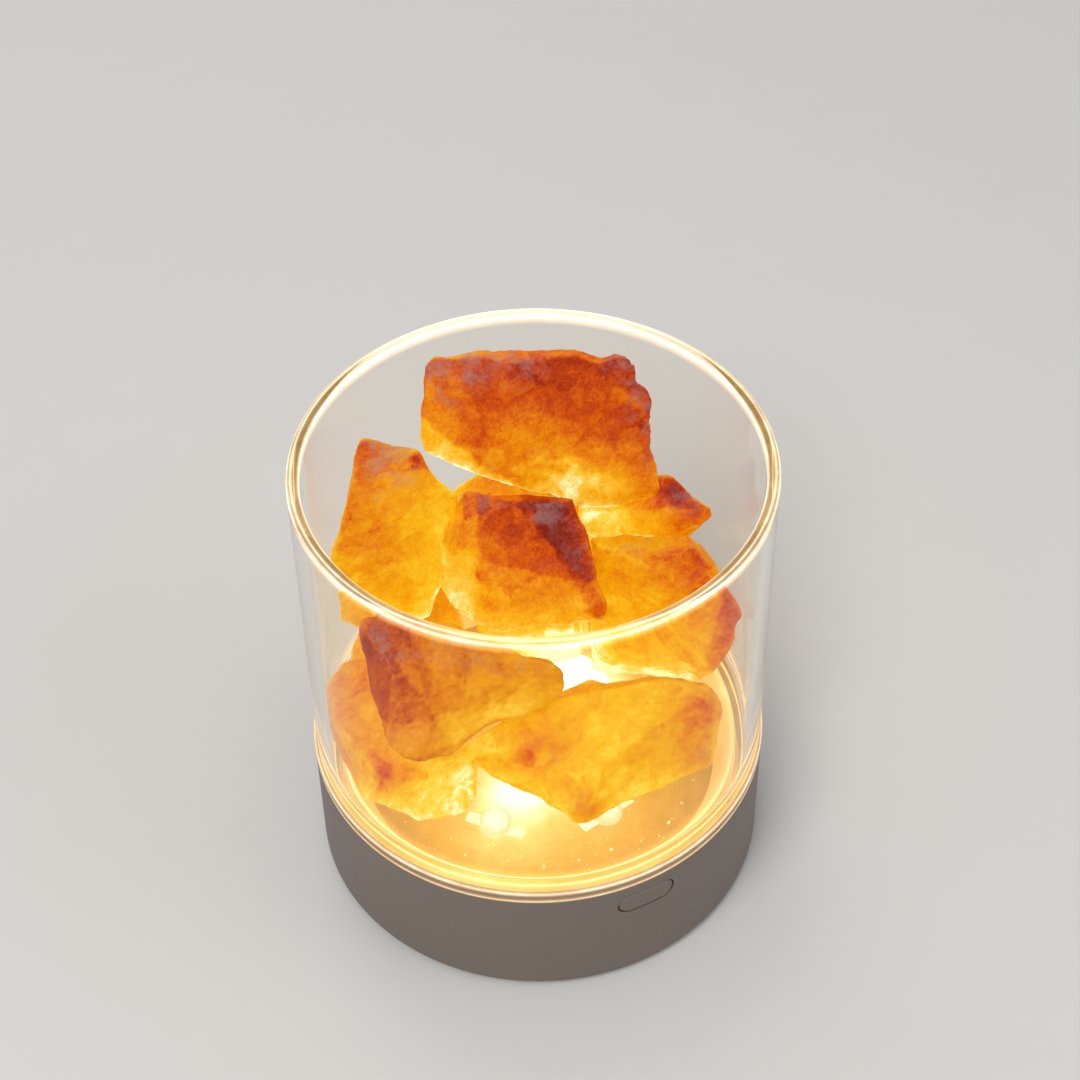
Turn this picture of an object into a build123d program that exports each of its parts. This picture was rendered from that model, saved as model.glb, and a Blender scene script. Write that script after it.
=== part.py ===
from build123d import *
import os
from math import cos, radians, sin

# Salt crystal lamp: a round base with a lit board, and a clear cup on it that holds a heap of salt stones.
# Millimetres, +Z up. The origin is on the table, on the lamp's axis.
# The push button faces -Y and the USB socket faces +Y.

# ---------------------------------------------------------------- driving dimensions

# Clear cup
cup_diameter = 85.0
lamp_height = 94.0
cup_wall = 2.3
rim_round = 0.9
flange_overhang = 0.5  # how far the flange stands out past the wall
flange_height = 2.8
flange_round = 0.4
cup_floor = 3.0
floor_round = 1.2
underfloor_step = 0.4  # the floor's underside lies this far above the flange's
spigot_depth = 1.8
spigot_wall = 1.8

# Base housing
base_height = 26.0
housing_wall = 2.0
table_gap = 0.8  # between the table and the housing's lower edge
foot_edge_round = 1.2
top_edge_round = 0.3
lip_width = 2.85
lip_depth = 1.6
seat_clearance = 0.15  # between the cup's spigot and the lip

# Posts inside the housing, and the screws in them
post_count = 4
post_first_angle = 45.0
post_radius = 3.5
post_wall_gap = 0.1  # between a post and the housing's inner wall, bridged by a web
post_web = 2.4
screw_head_radius = 2.4
screw_head_height = 1.2
screw_radius = 1.5
cover_screw_length = 9.0
board_screw_length = 5.6
board_screw_radius = 1.0
board_screw_head_radius = 1.9
board_screw_head_height = 0.9
screw_clearance = 0.05
socket_radius = 1.0  # recess in a screw's head
socket_depth = 0.6

# Bottom cover and feet
cover_thickness = 2.0
cover_clearance = 0.2
foot_count = 4
foot_radius = 5.0
foot_height = 1.6
foot_inset = 10.8  # from the cover's edge to a foot's centre
foot_clearance = 0.1

# Lit board
led_board_drop = 9.0  # below the base's top
led_board_thickness = 1.6
led_board_gap = 1.4  # to the housing's inner wall
led_count = 6
led_first_angle = 10.0  # from -Y, anticlockwise seen from above
led_inset = 18.6  # from the board's edge to the ring of LEDs
led_body_radius = 3.0
led_body_height = 1.8
led_lens_radius = 2.2
led_lens_height = 1.9
led_lead_length = 2.8
led_lead_width = 2.2
led_lead_thickness = 0.4

# Reflector ring between the lit board and the cup
reflector_wall = 0.8
reflector_slope = 3.2  # how much wider it is at the top
reflector_clearance = 0.2

# Push button
button_length = 11.2
button_height = 4.5
button_drop = 4.8  # from the base's top down to the button's middle
button_groove = 0.25
button_proud = 0.15
button_travel = 0.4
button_bevel = 0.35
button_flange = 0.5  # how far its inner flange reaches past its face's outline
button_flange_thickness = 0.7
button_clearance = 0.1
plunger_radius = 0.9
plunger_clearance = 0.1
switch_width = 6.0
switch_height = 3.6
switch_depth = 1.0
switch_corner = 0.7
switch_board_width = 11.0
switch_board_height = 4.8
switch_board_thickness = 0.8
switch_gap = 0.2  # between the switch's face and the button's flange when it is pressed

# Control board and USB socket
control_board_width = 26.0
control_board_depth = 20.0
control_board_thickness = 1.6
control_board_level = 5.4
usb_width = 8.94
usb_height = 3.26
usb_depth = 7.35
usb_wall = 0.3
usb_tongue_width = 6.7
usb_tongue_thickness = 0.7
usb_inset = 0.6  # the socket's mouth lies this far inside the housing's wall
usb_hole_width = 12.6
usb_hole_height = 6.8
peg_radius = 0.9
peg_seat_radius = 2.0
peg_head = 0.6
peg_inset = 2.6
peg_clearance = 0.1

# Battery
battery_width = 44.0
battery_depth = 28.0
battery_height = 9.0
battery_edge = 2.0
battery_pad_thickness = 0.8
battery_shift = -6.0
fence_wall = 1.2
fence_height = 6.0
fence_clearance = 0.3

# Wires
wire_radius = 0.6
wire_spacing = 2.4
wire_stub = 3.0

# Salt stones
stone_clearance = 0.3
pile_turn = -26.6  # turns the heap's own frame into the lamp's
pile_bore = 40.2  # inner radius of the cup that the stones' corners are given for
crumb_count = 8
crumb_inset = 4.6  # from the cup's wall to the ring of crumbs
crumb_first_angle = -20.0
crumb_step_angle = 10.0
crumb_size = 1.1

# ---------------------------------------------------------------- places that follow from them

base_radius = cup_diameter / 2 + flange_overhang
cup_radius = cup_diameter / 2
cup_bore = cup_radius - cup_wall
floor_underside = base_height + underfloor_step
floor_top = floor_underside + cup_floor
housing_bore = base_radius - housing_wall
lip_bore = base_radius - lip_width
spigot_radius = lip_bore - seat_clearance
cover_top = table_gap + cover_thickness
led_board_level = base_height - led_board_drop
button_level = base_height - button_drop
cover_radius = housing_bore - cover_clearance
foot_ring_radius = cover_radius - foot_inset
post_ring_radius = housing_bore - post_wall_gap - post_radius
led_board_top = led_board_level + led_board_thickness
led_board_radius = housing_bore - led_board_gap
led_ring_radius = led_board_radius - led_inset
reflector_top = floor_underside - 2 * reflector_clearance
reflector_top_radius = spigot_radius - spigot_wall - reflector_clearance
control_board_top = control_board_level + control_board_thickness
control_board_edge = housing_bore - usb_inset - usb_depth / 2
usb_mouth = housing_bore - usb_inset
usb_level = control_board_top + usb_height / 2
battery_level = cover_top + battery_pad_thickness
button_face = base_radius + button_proud
flange_face = housing_bore - button_clearance
flange_back = flange_face - button_flange_thickness
switch_face = flange_back - button_travel - switch_gap
switch_back = switch_face - switch_depth
plunger_tip = flange_back - button_clearance
plunger_length = plunger_tip - switch_back - button_travel - plunger_clearance


def save(part, name):
    """Label one sub-part and write its STEP file."""
    part.label = name
    export_step(part, f"parts/{name}.step")


def post_places():
    """The four posts' places, seen in plan."""
    return PolarLocations(post_ring_radius, post_count, start_angle=post_first_angle)


def foot_places():
    return PolarLocations(foot_ring_radius, foot_count)


def led_places():
    return PolarLocations(led_ring_radius, led_count, start_angle=led_first_angle - 90)


def peg_places():
    """The two pegs under the control board's inner corners and the two near its socket."""
    across = control_board_width - 2 * peg_inset
    along = control_board_depth - usb_depth - 2 * peg_inset
    middle = control_board_edge - usb_depth - along / 2
    return [Location((x, middle + y)) for x in (-across / 2, across / 2) for y in (-along / 2, along / 2)]


def wire_path(points, bend):
    """Straight runs joined by tangent arcs."""
    return FilletPolyline(*points, radius=bend)


os.makedirs("parts", exist_ok=True)

# ---------------------------------------------------------------- clear cup

with BuildPart() as cup:
    with BuildSketch(Plane.XZ):
        with BuildLine():
            Polyline(
                (0, floor_underside),
                (spigot_radius - spigot_wall, floor_underside),
                (spigot_radius - spigot_wall, base_height - spigot_depth),
                (spigot_radius, base_height - spigot_depth),
                (spigot_radius, base_height),
                (base_radius, base_height),
                (base_radius, base_height + flange_height),
                (cup_radius, base_height + flange_height),
                (cup_radius, lamp_height),
                (cup_bore, lamp_height),
                (cup_bore, floor_top),
                (0, floor_top),
                close=True,
            )
        make_face()
    revolve(axis=Axis.Z)
    circles = cup.edges().filter_by(GeomType.CIRCLE)
    rim_edges = circles.filter_by(lambda edge: edge.center().Z > lamp_height - rim_round)
    flange_edges = circles.filter_by(lambda edge: edge.radius > cup_radius + flange_overhang / 2)
    corner = circles.filter_by(lambda edge: abs(edge.radius - cup_bore) < 0.01 and edge not in rim_edges)
    fillet(corner, floor_round)
    fillet(flange_edges, flange_round)
    fillet(rim_edges, rim_round)

save(cup.part, "cup")

# ---------------------------------------------------------------- salt stones

# Corners of each stone in the heap's own frame, as (x, y, height above the lowest stones' underside).
# In that frame the heap is seen from -Y, with the button 26.6 degrees round to the right.
stones = {
    "stone_back_slab": [
        (-19.5, 34, 57.5), (-5.5, 38, 58), (5.5, 38, 56.5), (15, 36, 58.5), (19, 34.5, 59), (21.5, 32.5, 52),
        (23.5, 28, 36), (22.5, 27, 30.5), (4.5, 26.5, 31), (-7, 26.5, 33.5), (-21.5, 28, 42), (-20.5, 32.5, 46),
        (-14, 36, 40), (0, 38.5, 34.5), (14, 36, 33),
    ],
    "stone_back_right": [
        (8.5, 28.5, 24.5), (24.5, 28.5, 30), (26, 28.5, 32.5), (33, 21.5, 32), (33, 21, 30), (29, 20.5, 26),
        (12.5, 24.5, 21.5), (11, 35.5, 24.5), (29, 25, 17), (16, 26.5, 16), (20, 32, 16),
    ],
    "stone_left": [
        (-32, 22, 48), (-29, 25.5, 47), (-22, 25, 44.5), (-19, 23, 42), (-15.5, 20.5, 38), (-34, 19, 40),
        (-37.5, 11.5, 33.5), (-38, 9.5, 23.5), (-38, 9, 16.5), (-17.5, 15, 27.5), (-25, 8.5, 20.5),
        (-33.5, 7, 15.5), (-24, 13, 15), (-33, 16, 13), (-23.5, 22, 19), (-30, 25, 32),
    ],
    "stone_centre": [
        (-12, 21.5, 37), (0, 19, 39), (7, 17.5, 38), (9.5, 12.5, 32), (13, 5, 23), (13, 5, 18.5), (-3.5, 16, 39.5),
        (-17, 19, 30.5), (-16.5, 10, 18), (-11, 6.5, 16.5), (-7, 4.5, 16.5), (-13, 15.5, 36), (-12, 22, 25),
        (5, 21, 22), (8, 16, 18.5),
    ],
    "stone_right": [
        (10.5, 18, 28), (20, 17.5, 29), (28.5, 17.5, 28.5), (31, 17, 27), (34.5, 11, 25.5), (39, 5.5, 20),
        (13.5, 13.5, 29.5), (28.5, 12.5, 30), (35, 2, 8), (31.5, 6, 0.5), (20, 8.5, 0), (12.5, 10, 0),
        (10, 10, 3), (13, 20, 14), (29, 24, 14), (34, 16, 10), (26, 20, 0),
    ],
    "stone_front_left_top": [
        (-30.5, -3.5, 30), (-31.5, -5.5, 27), (-30.5, -10.5, 23.5), (-27, -21.5, 17.5), (-23.5, -24, 16.5),
        (-20.5, -25.5, 15.5), (-18, -24.5, 15.5), (3.5, -12.5, 17), (5.5, -8.5, 18.5), (4, -6, 19.5),
        (-17, -4, 26.5), (-26, -13.5, 27), (-31, -1, 21), (-22, -18, 9), (2, -5, 12), (-10, 2, 16),
    ],
    "stone_front_left": [
        (-21, -27, 0), (-17, -26.5, 0), (-12.5, -24.5, 0), (-11, -20.5, 1), (-11, -18, 3), (-12.5, -16.5, 5.5),
        (-36.5, -13, 5), (-38, -9, 15), (-36, -2.5, 18), (-33, -19.5, 0), (-31.5, -22, 1), (-30, -20, 8),
        (-18.5, -16, 8.5), (-30, 1, 17.5), (-15, -4, 7.5), (-33, 2, 0), (-16.5, -4, 0),
    ],
    "stone_front_right": [
        (8.5, -27.5, 0.5), (4, -25.5, 0.5), (-5, -20, 1), (-10.5, -16.5, 2), (-11.5, -13, 6.5), (-9.5, -12.5, 9),
        (5.5, -7.5, 14.5), (16.5, -7, 16), (28, -6.5, 15.5), (32.5, -7, 14), (34, -9, 7), (33, -12, 3),
        (32, -16, 0), (17, -21, 0), (0, -4, 0), (30, 0, 0.5), (9, 0, 8), (12, -20, 8), (0, -15, 10.5),
    ],
    "stone_under_left": [
        (-36, 4, 0), (-37, 12, 1), (-30, 24, 0), (-16, 30, 0), (-13, 10, 0), (-22, 3.5, 0), (-36, 9, 10),
        (-33, 14, 11.5), (-23, 22, 16), (-16, 20, 14), (-15, 10, 10),
    ],
    "stone_under_centre": [
        (-11, 13, 0), (8, 12, 0), (11, 18, 0), (9, 22, 3), (-10, 22, 0), (-11, 10, 15), (5, 10, 16),
        (8, 18, 18), (-9, 20, 19),
    ],
    "stone_under_back": [
        (-13, 26, 0), (12, 24, 0), (26, 26, 0), (20, 33, 1), (0, 38.5, 0), (-14, 35, 1), (-13, 29, 23),
        (3, 28, 23), (4, 36.5, 27), (-8, 37, 30), (22, 29, 13),
    ],
}
stone_level = floor_top + stone_clearance


def in_lamp(x, y, height):
    """Turn a corner of the heap's own frame into the lamp's, and spread the heap to fill the cup."""
    turn = radians(pile_turn)
    spread = cup_bore / pile_bore
    across = x * cos(turn) - y * sin(turn)
    along = x * sin(turn) + y * cos(turn)
    return (spread * across, spread * along, stone_level + height)


for stone_name, corners in stones.items():
    with BuildPart() as stone:
        ConvexPolyhedron([in_lamp(*corner) for corner in corners])
    save(stone.part, stone_name)

with BuildPart() as salt_crumbs:
    for number in range(crumb_count):
        angle = crumb_first_angle + number * crumb_step_angle + pile_turn
        reach = cup_bore - crumb_inset + (number % 3 - 1) * crumb_size
        size = crumb_size * (0.7 + 0.3 * (number % 2))
        plane = Plane(
            origin=(reach * sin(radians(angle)), -reach * cos(radians(angle)), floor_top),
            x_dir=(cos(3 * radians(angle)), sin(3 * radians(angle)), 0),
            z_dir=(0, 0, 1),
        )
        with BuildSketch(plane):
            RegularPolygon(size, 5)
        extrude(amount=size, taper=18)

save(salt_crumbs.part, "salt_crumbs")

# ---------------------------------------------------------------- base housing

with BuildPart() as housing:
    with BuildSketch(Plane.XZ):
        with BuildLine():
            Polyline(
                (housing_bore, table_gap),
                (base_radius, table_gap),
                (base_radius, base_height),
                (lip_bore, base_height),
                (lip_bore, base_height - lip_depth),
                (housing_bore, base_height - lip_depth),
                close=True,
            )
        profile = make_face()
        outer_corners = profile.vertices().group_by(Axis.X)[-1].sort_by(Axis.Z)
        fillet(outer_corners[0], foot_edge_round)
        fillet(outer_corners[-1], top_edge_round)
    revolve(axis=Axis.Z)
    with BuildSketch(Plane.XY.offset(cover_top)):
        with post_places():
            Circle(post_radius)
            Rectangle(post_radius + post_wall_gap + housing_wall / 2, post_web, align=(Align.MIN, Align.CENTER))
    extrude(amount=led_board_level - cover_top)
    with BuildSketch(Plane.XY.offset(cover_top)):
        with post_places():
            Circle(screw_radius + screw_clearance)
    extrude(amount=cover_screw_length - cover_thickness, mode=Mode.SUBTRACT)
    with BuildSketch(Plane.XY.offset(led_board_level)):
        with post_places():
            Circle(board_screw_radius + screw_clearance)
    extrude(amount=led_board_thickness - board_screw_length, mode=Mode.SUBTRACT)
    # the button's hole and the socket's hole go through the wall alone
    with BuildSketch(Plane.XZ.offset(flange_back)):
        with Locations((0, button_level)):
            SlotOverall(button_length + 2 * button_groove, button_height + 2 * button_groove)
    extrude(amount=base_radius, mode=Mode.SUBTRACT)
    with BuildSketch(Plane.XZ.offset(-usb_mouth)):
        with Locations((0, usb_level)):
            SlotOverall(usb_hole_width, usb_hole_height)
    extrude(amount=-base_radius, mode=Mode.SUBTRACT)

save(housing.part, "housing")

# ---------------------------------------------------------------- bottom cover, feet and screws

with BuildPart() as bottom_cover:
    with BuildSketch(Plane.XY.offset(table_gap)):
        Circle(cover_radius)
    extrude(amount=cover_thickness)
    with BuildSketch(Plane.XY.offset(table_gap)):
        with foot_places():
            Circle(foot_radius + foot_clearance)
    extrude(amount=foot_height - table_gap, mode=Mode.SUBTRACT)
    with BuildSketch(Plane.XY.offset(table_gap)):
        with post_places():
            Circle(screw_head_radius + foot_clearance)
    extrude(amount=screw_head_height, mode=Mode.SUBTRACT)
    with BuildSketch(Plane.XY.offset(table_gap)):
        with post_places():
            Circle(screw_radius + screw_clearance)
    extrude(amount=cover_thickness, mode=Mode.SUBTRACT)
    with BuildSketch(Plane.XY.offset(cover_top)):
        with Locations((0, battery_shift)):
            Rectangle(
                battery_width + 2 * (fence_clearance + fence_wall),
                battery_depth + 2 * (fence_clearance + fence_wall),
            )
            Rectangle(
                battery_width + 2 * fence_clearance,
                battery_depth + 2 * fence_clearance,
                mode=Mode.SUBTRACT,
            )
    extrude(amount=fence_height)
    with BuildSketch(Plane.XY.offset(cover_top)):
        with Locations(*peg_places()):
            Circle(peg_seat_radius)
    extrude(amount=control_board_level - cover_top)
    with BuildSketch(Plane.XY.offset(cover_top)):
        with Locations(*peg_places()):
            Circle(peg_radius)
    extrude(amount=control_board_top + peg_head - cover_top)

save(bottom_cover.part, "bottom_cover")

with BuildPart() as feet:
    with BuildSketch(Plane.XY):
        with foot_places():
            Circle(foot_radius)
    extrude(amount=foot_height)
    chamfer(feet.edges().group_by(Axis.Z)[0], foot_height / 4)

save(feet.part, "feet")

with BuildPart() as cover_screws:
    with BuildSketch(Plane.XY.offset(table_gap)):
        with post_places():
            Circle(screw_head_radius)
    extrude(amount=screw_head_height)
    with BuildSketch(Plane.XY.offset(table_gap)):
        with post_places():
            Circle(screw_radius)
    extrude(amount=cover_screw_length)
    with BuildSketch(Plane.XY.offset(table_gap)):
        with post_places():
            RegularPolygon(socket_radius, 6)
    extrude(amount=socket_depth, mode=Mode.SUBTRACT)

save(cover_screws.part, "cover_screws")

# ---------------------------------------------------------------- lit board and reflector

with BuildPart() as led_board:
    with BuildSketch(Plane.XY.offset(led_board_level)):
        Circle(led_board_radius)
        with post_places():
            Circle(board_screw_radius + screw_clearance, mode=Mode.SUBTRACT)
    extrude(amount=led_board_thickness)

save(led_board.part, "led_board")

with BuildPart() as board_screws:
    with BuildSketch(Plane.XY.offset(led_board_top)):
        with post_places():
            Circle(board_screw_head_radius)
    extrude(amount=board_screw_head_height)
    with BuildSketch(Plane.XY.offset(led_board_top)):
        with post_places():
            Circle(board_screw_radius)
    extrude(amount=-board_screw_length)
    with BuildSketch(Plane.XY.offset(led_board_top + board_screw_head_height)):
        with post_places():
            RegularPolygon(socket_radius, 6)
    extrude(amount=-socket_depth, mode=Mode.SUBTRACT)

save(board_screws.part, "board_screws")

with BuildPart() as led_bodies:
    with BuildSketch(Plane.XY.offset(led_board_top)):
        with led_places():
            Circle(led_body_radius)
    extrude(amount=led_body_height)

save(led_bodies.part, "led_bodies")

with BuildPart() as led_lenses:
    with BuildSketch(Plane.XY.offset(led_board_top + led_body_height)):
        with led_places():
            Circle(led_lens_radius)
    extrude(amount=led_lens_height)
    fillet(led_lenses.edges().group_by(Axis.Z)[-1], 0.75 * led_lens_height)

save(led_lenses.part, "led_lenses")

with BuildPart() as led_leads:
    with BuildSketch(Plane.XY.offset(led_board_top)):
        with led_places():
            Rectangle(led_lead_width, 2 * (led_body_radius + led_lead_length))
            Circle(led_body_radius, mode=Mode.SUBTRACT)
    extrude(amount=led_lead_thickness)

save(led_leads.part, "led_leads")

with BuildPart() as reflector:
    with BuildSketch(Plane.XZ):
        with BuildLine():
            Polyline(
                (reflector_top_radius - reflector_slope - reflector_wall, led_board_top),
                (reflector_top_radius - reflector_slope, led_board_top),
                (reflector_top_radius, reflector_top),
                (reflector_top_radius - reflector_wall, reflector_top),
                close=True,
            )
        make_face()
    revolve(axis=Axis.Z)

save(reflector.part, "reflector")

# ---------------------------------------------------------------- push button and its switch

with BuildPart() as button_cap:
    with BuildSketch(Plane.XZ):
        with Locations((0, button_level)):
            SlotOverall(button_length, button_height)
    extrude(amount=2 * base_radius)
    with BuildSketch(Plane.XY):
        Circle(button_face)
        Circle(flange_back, mode=Mode.SUBTRACT)
    extrude(amount=lamp_height, mode=Mode.INTERSECT)
    outline = button_cap.faces().sort_by(Axis.Y)[0].outer_wire().edges()
    chamfer(outline, button_bevel)
    with BuildSketch(Plane.XY.offset(button_level - button_height / 2 - button_flange)):
        Circle(flange_face)
        Circle(flange_back, mode=Mode.SUBTRACT)
        with Locations((0, -flange_back)):
            Rectangle(button_length + 2 * button_flange, housing_bore, mode=Mode.INTERSECT)
    extrude(amount=button_height + 2 * button_flange)
    with BuildSketch(Plane.XZ.offset(plunger_tip)):
        with Locations((0, button_level)):
            Circle(plunger_radius)
    extrude(amount=flange_face - plunger_tip)

save(button_cap.part, "button_cap")

with BuildPart() as switch_plunger:
    with BuildSketch(Plane.XZ.offset(plunger_tip)):
        with Locations((0, button_level)):
            Circle(plunger_radius)
    extrude(amount=-plunger_length)

save(switch_plunger.part, "switch_plunger")

with BuildPart() as switch_body:
    with BuildSketch(Plane.XZ.offset(switch_back)):
        with Locations((0, button_level)):
            RectangleRounded(switch_width, switch_height, switch_corner)
            Circle(plunger_radius + plunger_clearance, mode=Mode.SUBTRACT)
    extrude(amount=switch_depth)

save(switch_body.part, "switch_body")

with BuildPart() as switch_board:
    with BuildSketch(Plane.XZ.offset(switch_back - switch_board_thickness)):
        with Locations((0, led_board_top)):
            Rectangle(switch_board_width, switch_board_height, align=(Align.CENTER, Align.MIN))
    extrude(amount=switch_board_thickness)

save(switch_board.part, "switch_board")

# ---------------------------------------------------------------- control board and USB socket

with BuildPart() as control_board:
    with BuildSketch(Plane.XY.offset(control_board_level)):
        with Locations((0, control_board_edge)):
            Rectangle(control_board_width, control_board_depth, align=(Align.CENTER, Align.MAX))
        with Locations(*peg_places()):
            Circle(peg_radius + peg_clearance, mode=Mode.SUBTRACT)
    extrude(amount=control_board_thickness)

save(control_board.part, "control_board")

with BuildPart() as usb_shell:
    with BuildSketch(Plane.XZ.offset(-usb_mouth)):
        with Locations((0, usb_level)):
            SlotOverall(usb_width, usb_height)
            SlotOverall(usb_width - 2 * usb_wall, usb_height - 2 * usb_wall, mode=Mode.SUBTRACT)
    extrude(amount=usb_depth)
    with BuildSketch(Plane.XZ.offset(usb_depth - usb_mouth)):
        with Locations((0, usb_level)):
            SlotOverall(usb_width, usb_height)
    extrude(amount=-usb_wall)

save(usb_shell.part, "usb_shell")

with BuildPart() as usb_tongue:
    with BuildSketch(Plane.XZ.offset(usb_depth - usb_wall - usb_mouth)):
        with Locations((0, usb_level)):
            Rectangle(usb_tongue_width, usb_tongue_thickness)
    extrude(amount=2 * usb_wall + usb_inset - usb_depth)

save(usb_tongue.part, "usb_tongue")

board_front = control_board_edge - control_board_depth
# Each item's centre across, its distance from the board's inner edge, and its width, depth and height
board_items = {
    "coil": (-5.5, 8.8, 6.0, 6.0, 3.0),
    "capacitor": (7.0, 9.0, 4.0, 4.0, 4.5),
    "controller": (0.8, 9.0, 4.0, 4.0, 1.2),
    "battery_plug": (-2.8, 3.0, 5.0, 4.0, 3.0),
    "board_plug": (5.2, 3.0, 5.0, 4.0, 3.0),
}

with BuildPart() as board_parts:
    for across, inward, width, depth, height in board_items.values():
        with BuildSketch(Plane.XY.offset(control_board_top)):
            with Locations((across, board_front + inward)):
                Rectangle(width, depth)
        extrude(amount=height)

save(board_parts.part, "board_parts")

# ---------------------------------------------------------------- battery

with BuildPart() as battery_pad:
    with BuildSketch(Plane.XY.offset(cover_top)):
        with Locations((0, battery_shift)):
            Rectangle(battery_width, battery_depth)
    extrude(amount=battery_pad_thickness)

save(battery_pad.part, "battery_pad")

with BuildPart() as battery:
    with BuildSketch(Plane.XY.offset(battery_level)):
        with Locations((0, battery_shift)):
            Rectangle(battery_width, battery_depth)
    extrude(amount=battery_height)
    fillet(battery.edges().filter_by(Axis.X), battery_edge)

save(battery.part, "battery")

# ---------------------------------------------------------------- wires

battery_top = battery_level + battery_height
battery_side = battery_shift + battery_depth / 2


def plug_place(name):
    """A plug's centre across, its place along Y, and the level of its top."""
    across, inward, width, depth, height = board_items[name]
    return across, board_front + inward, control_board_top + height


with BuildPart() as battery_wires:
    for side in (-1, 1):
        across, plug_y, plug_top = plug_place("battery_plug")
        x = across + side * wire_spacing / 2
        level = cover_top + fence_height + wire_radius + fence_clearance
        arch = plug_top + wire_stub
        with BuildLine():
            run = wire_path(
                [
                    (x, battery_side, level),
                    (x, battery_side + (plug_y - battery_side) / 3, level),
                    (x, battery_side + (plug_y - battery_side) / 3, arch),
                    (x, plug_y, arch),
                    (x, plug_y, plug_top),
                ],
                wire_radius * 2,
            )
        with BuildSketch(Plane(run @ 0, z_dir=run % 0)):
            Circle(wire_radius)
        sweep(path=run)

save(battery_wires.part, "battery_wires")

with BuildPart() as led_wires:
    for side in (-1, 1):
        across, plug_y, plug_top = plug_place("board_plug")
        x = across + side * wire_spacing / 2
        with BuildLine():
            run = wire_path(
                [
                    (x, plug_y, plug_top),
                    (x, plug_y, plug_top + wire_stub),
                    (x, plug_y - 2 * wire_stub, plug_top + wire_stub),
                    (x, plug_y - 2 * wire_stub, led_board_level),
                ],
                wire_radius * 2,
            )
        with BuildSketch(Plane(run @ 0, z_dir=run % 0)):
            Circle(wire_radius)
        sweep(path=run)

save(led_wires.part, "led_wires")
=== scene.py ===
"""Salt crystal lamp: a round base, a clear cup and a lit heap of salt stones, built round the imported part.

Laid out as an add-on: sizes and colours are properties, each group of pieces is one operator,
and the panel lists them. Metres, +Z up, in the part's own frame. The button faces -Y.
"""

from math import asin, cos, pi, radians, sin

import bpy
import numpy as np
from bpy.props import BoolProperty, FloatProperty, FloatVectorProperty, IntProperty, PointerProperty
from mathutils import Matrix, Vector, noise
from mathutils.bvhtree import BVHTree


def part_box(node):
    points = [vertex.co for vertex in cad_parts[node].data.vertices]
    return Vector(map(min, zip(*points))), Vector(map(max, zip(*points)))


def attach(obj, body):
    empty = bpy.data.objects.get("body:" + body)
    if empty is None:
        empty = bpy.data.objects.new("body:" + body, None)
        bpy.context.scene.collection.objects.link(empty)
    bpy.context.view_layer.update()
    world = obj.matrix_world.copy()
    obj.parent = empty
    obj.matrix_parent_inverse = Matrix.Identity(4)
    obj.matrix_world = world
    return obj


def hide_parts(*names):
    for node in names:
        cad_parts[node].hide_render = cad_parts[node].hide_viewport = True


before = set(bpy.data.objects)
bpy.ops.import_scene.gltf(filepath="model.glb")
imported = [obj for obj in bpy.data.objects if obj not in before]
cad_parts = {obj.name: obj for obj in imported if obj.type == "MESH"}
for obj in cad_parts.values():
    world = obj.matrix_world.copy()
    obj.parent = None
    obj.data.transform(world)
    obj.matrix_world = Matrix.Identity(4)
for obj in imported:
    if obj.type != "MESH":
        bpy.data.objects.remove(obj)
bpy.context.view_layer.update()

bl_info = {
    "name": "Salt Crystal Lamp",
    "version": (1, 0, 0),
    "blender": (4, 5, 0),
    "location": "View3D > Sidebar > Salt Lamp",
    "description": "Builds a salt crystal lamp with a clear cup round its packed part",
    "category": "Object",
}

MM = 0.001
CUP_LOW, CUP_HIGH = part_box("cup")
BOARD_LOW, BOARD_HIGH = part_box("led_board")
BODY_LOW, BODY_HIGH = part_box("led_bodies")
_, LENS_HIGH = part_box("led_lenses")
REFLECTOR_LOW, REFLECTOR_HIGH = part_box("reflector")
CRUMB_LOW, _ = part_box("salt_crumbs")

# The camera, fitted to the photograph: its place in metres, its turn in degrees, and its lens in
# millimetres. It looks down at 51.6 degrees, from 26.6 degrees round the lamp from -Y.
VIEW_PLACE = (-0.126589, -0.252791, 0.356187)
VIEW_TURN = (45.17604, 0.69186, -27.48358)
VIEW_LENS = 74.8

# The ring of LEDs: angles round the lamp's axis in degrees from +X, and its radius in metres
LED_ANGLES = [number * 60 - 80 for number in range(6)]
LED_REACH = BOARD_HIGH.x - 0.0186

# Where the light on the board is strongest: place and reach in millimetres, and how much brighter
BLOOM = (10.5, 6.0, 8.5, 5.0)
HOT_PLACES = [(-7.3, -7.6, 8.0, 1.7), BLOOM, (-16.0, -20.0, 13.0, 0.28)]

# The crumbs gather where the cup faces the camera, in degrees from +X. The first ones are large.
CRUMB_FRONT = -116.6
LARGE_CRUMBS = 8

# Each stone: its look, how much its painted glow is raised above the light through it, how dusty it is,
# and the number that its random draws start from
STONES = {
    "stone_back_slab": ("red", 0.23, 0.06, 11),
    "stone_back_right": ("amber", 0.30, 0.0, 12),
    "stone_left": ("amber", 0.29, 0.05, 13),
    "stone_centre": ("red", 0.04, 0.0, 14),
    "stone_right": ("amber", 0.15, 0.0, 15),
    "stone_front_left_top": ("brown", 0.04, 0.04, 16),
    "stone_front_left": ("amber", 0.10, 0.0, 17),
    "stone_front_right": ("amber", 0.06, 0.0, 18),
    "stone_under_left": ("amber", 0.08, 0.0, 19),
    "stone_under_centre": ("amber", 0.06, 0.0, 20),
    "stone_under_back": ("amber", 0.26, 0.0, 21),
}

# The glow below which a stone darkens more slowly, and the least cosine between parts of one facet
DIM = 0.24
SAME_FACET = 0.985
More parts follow.
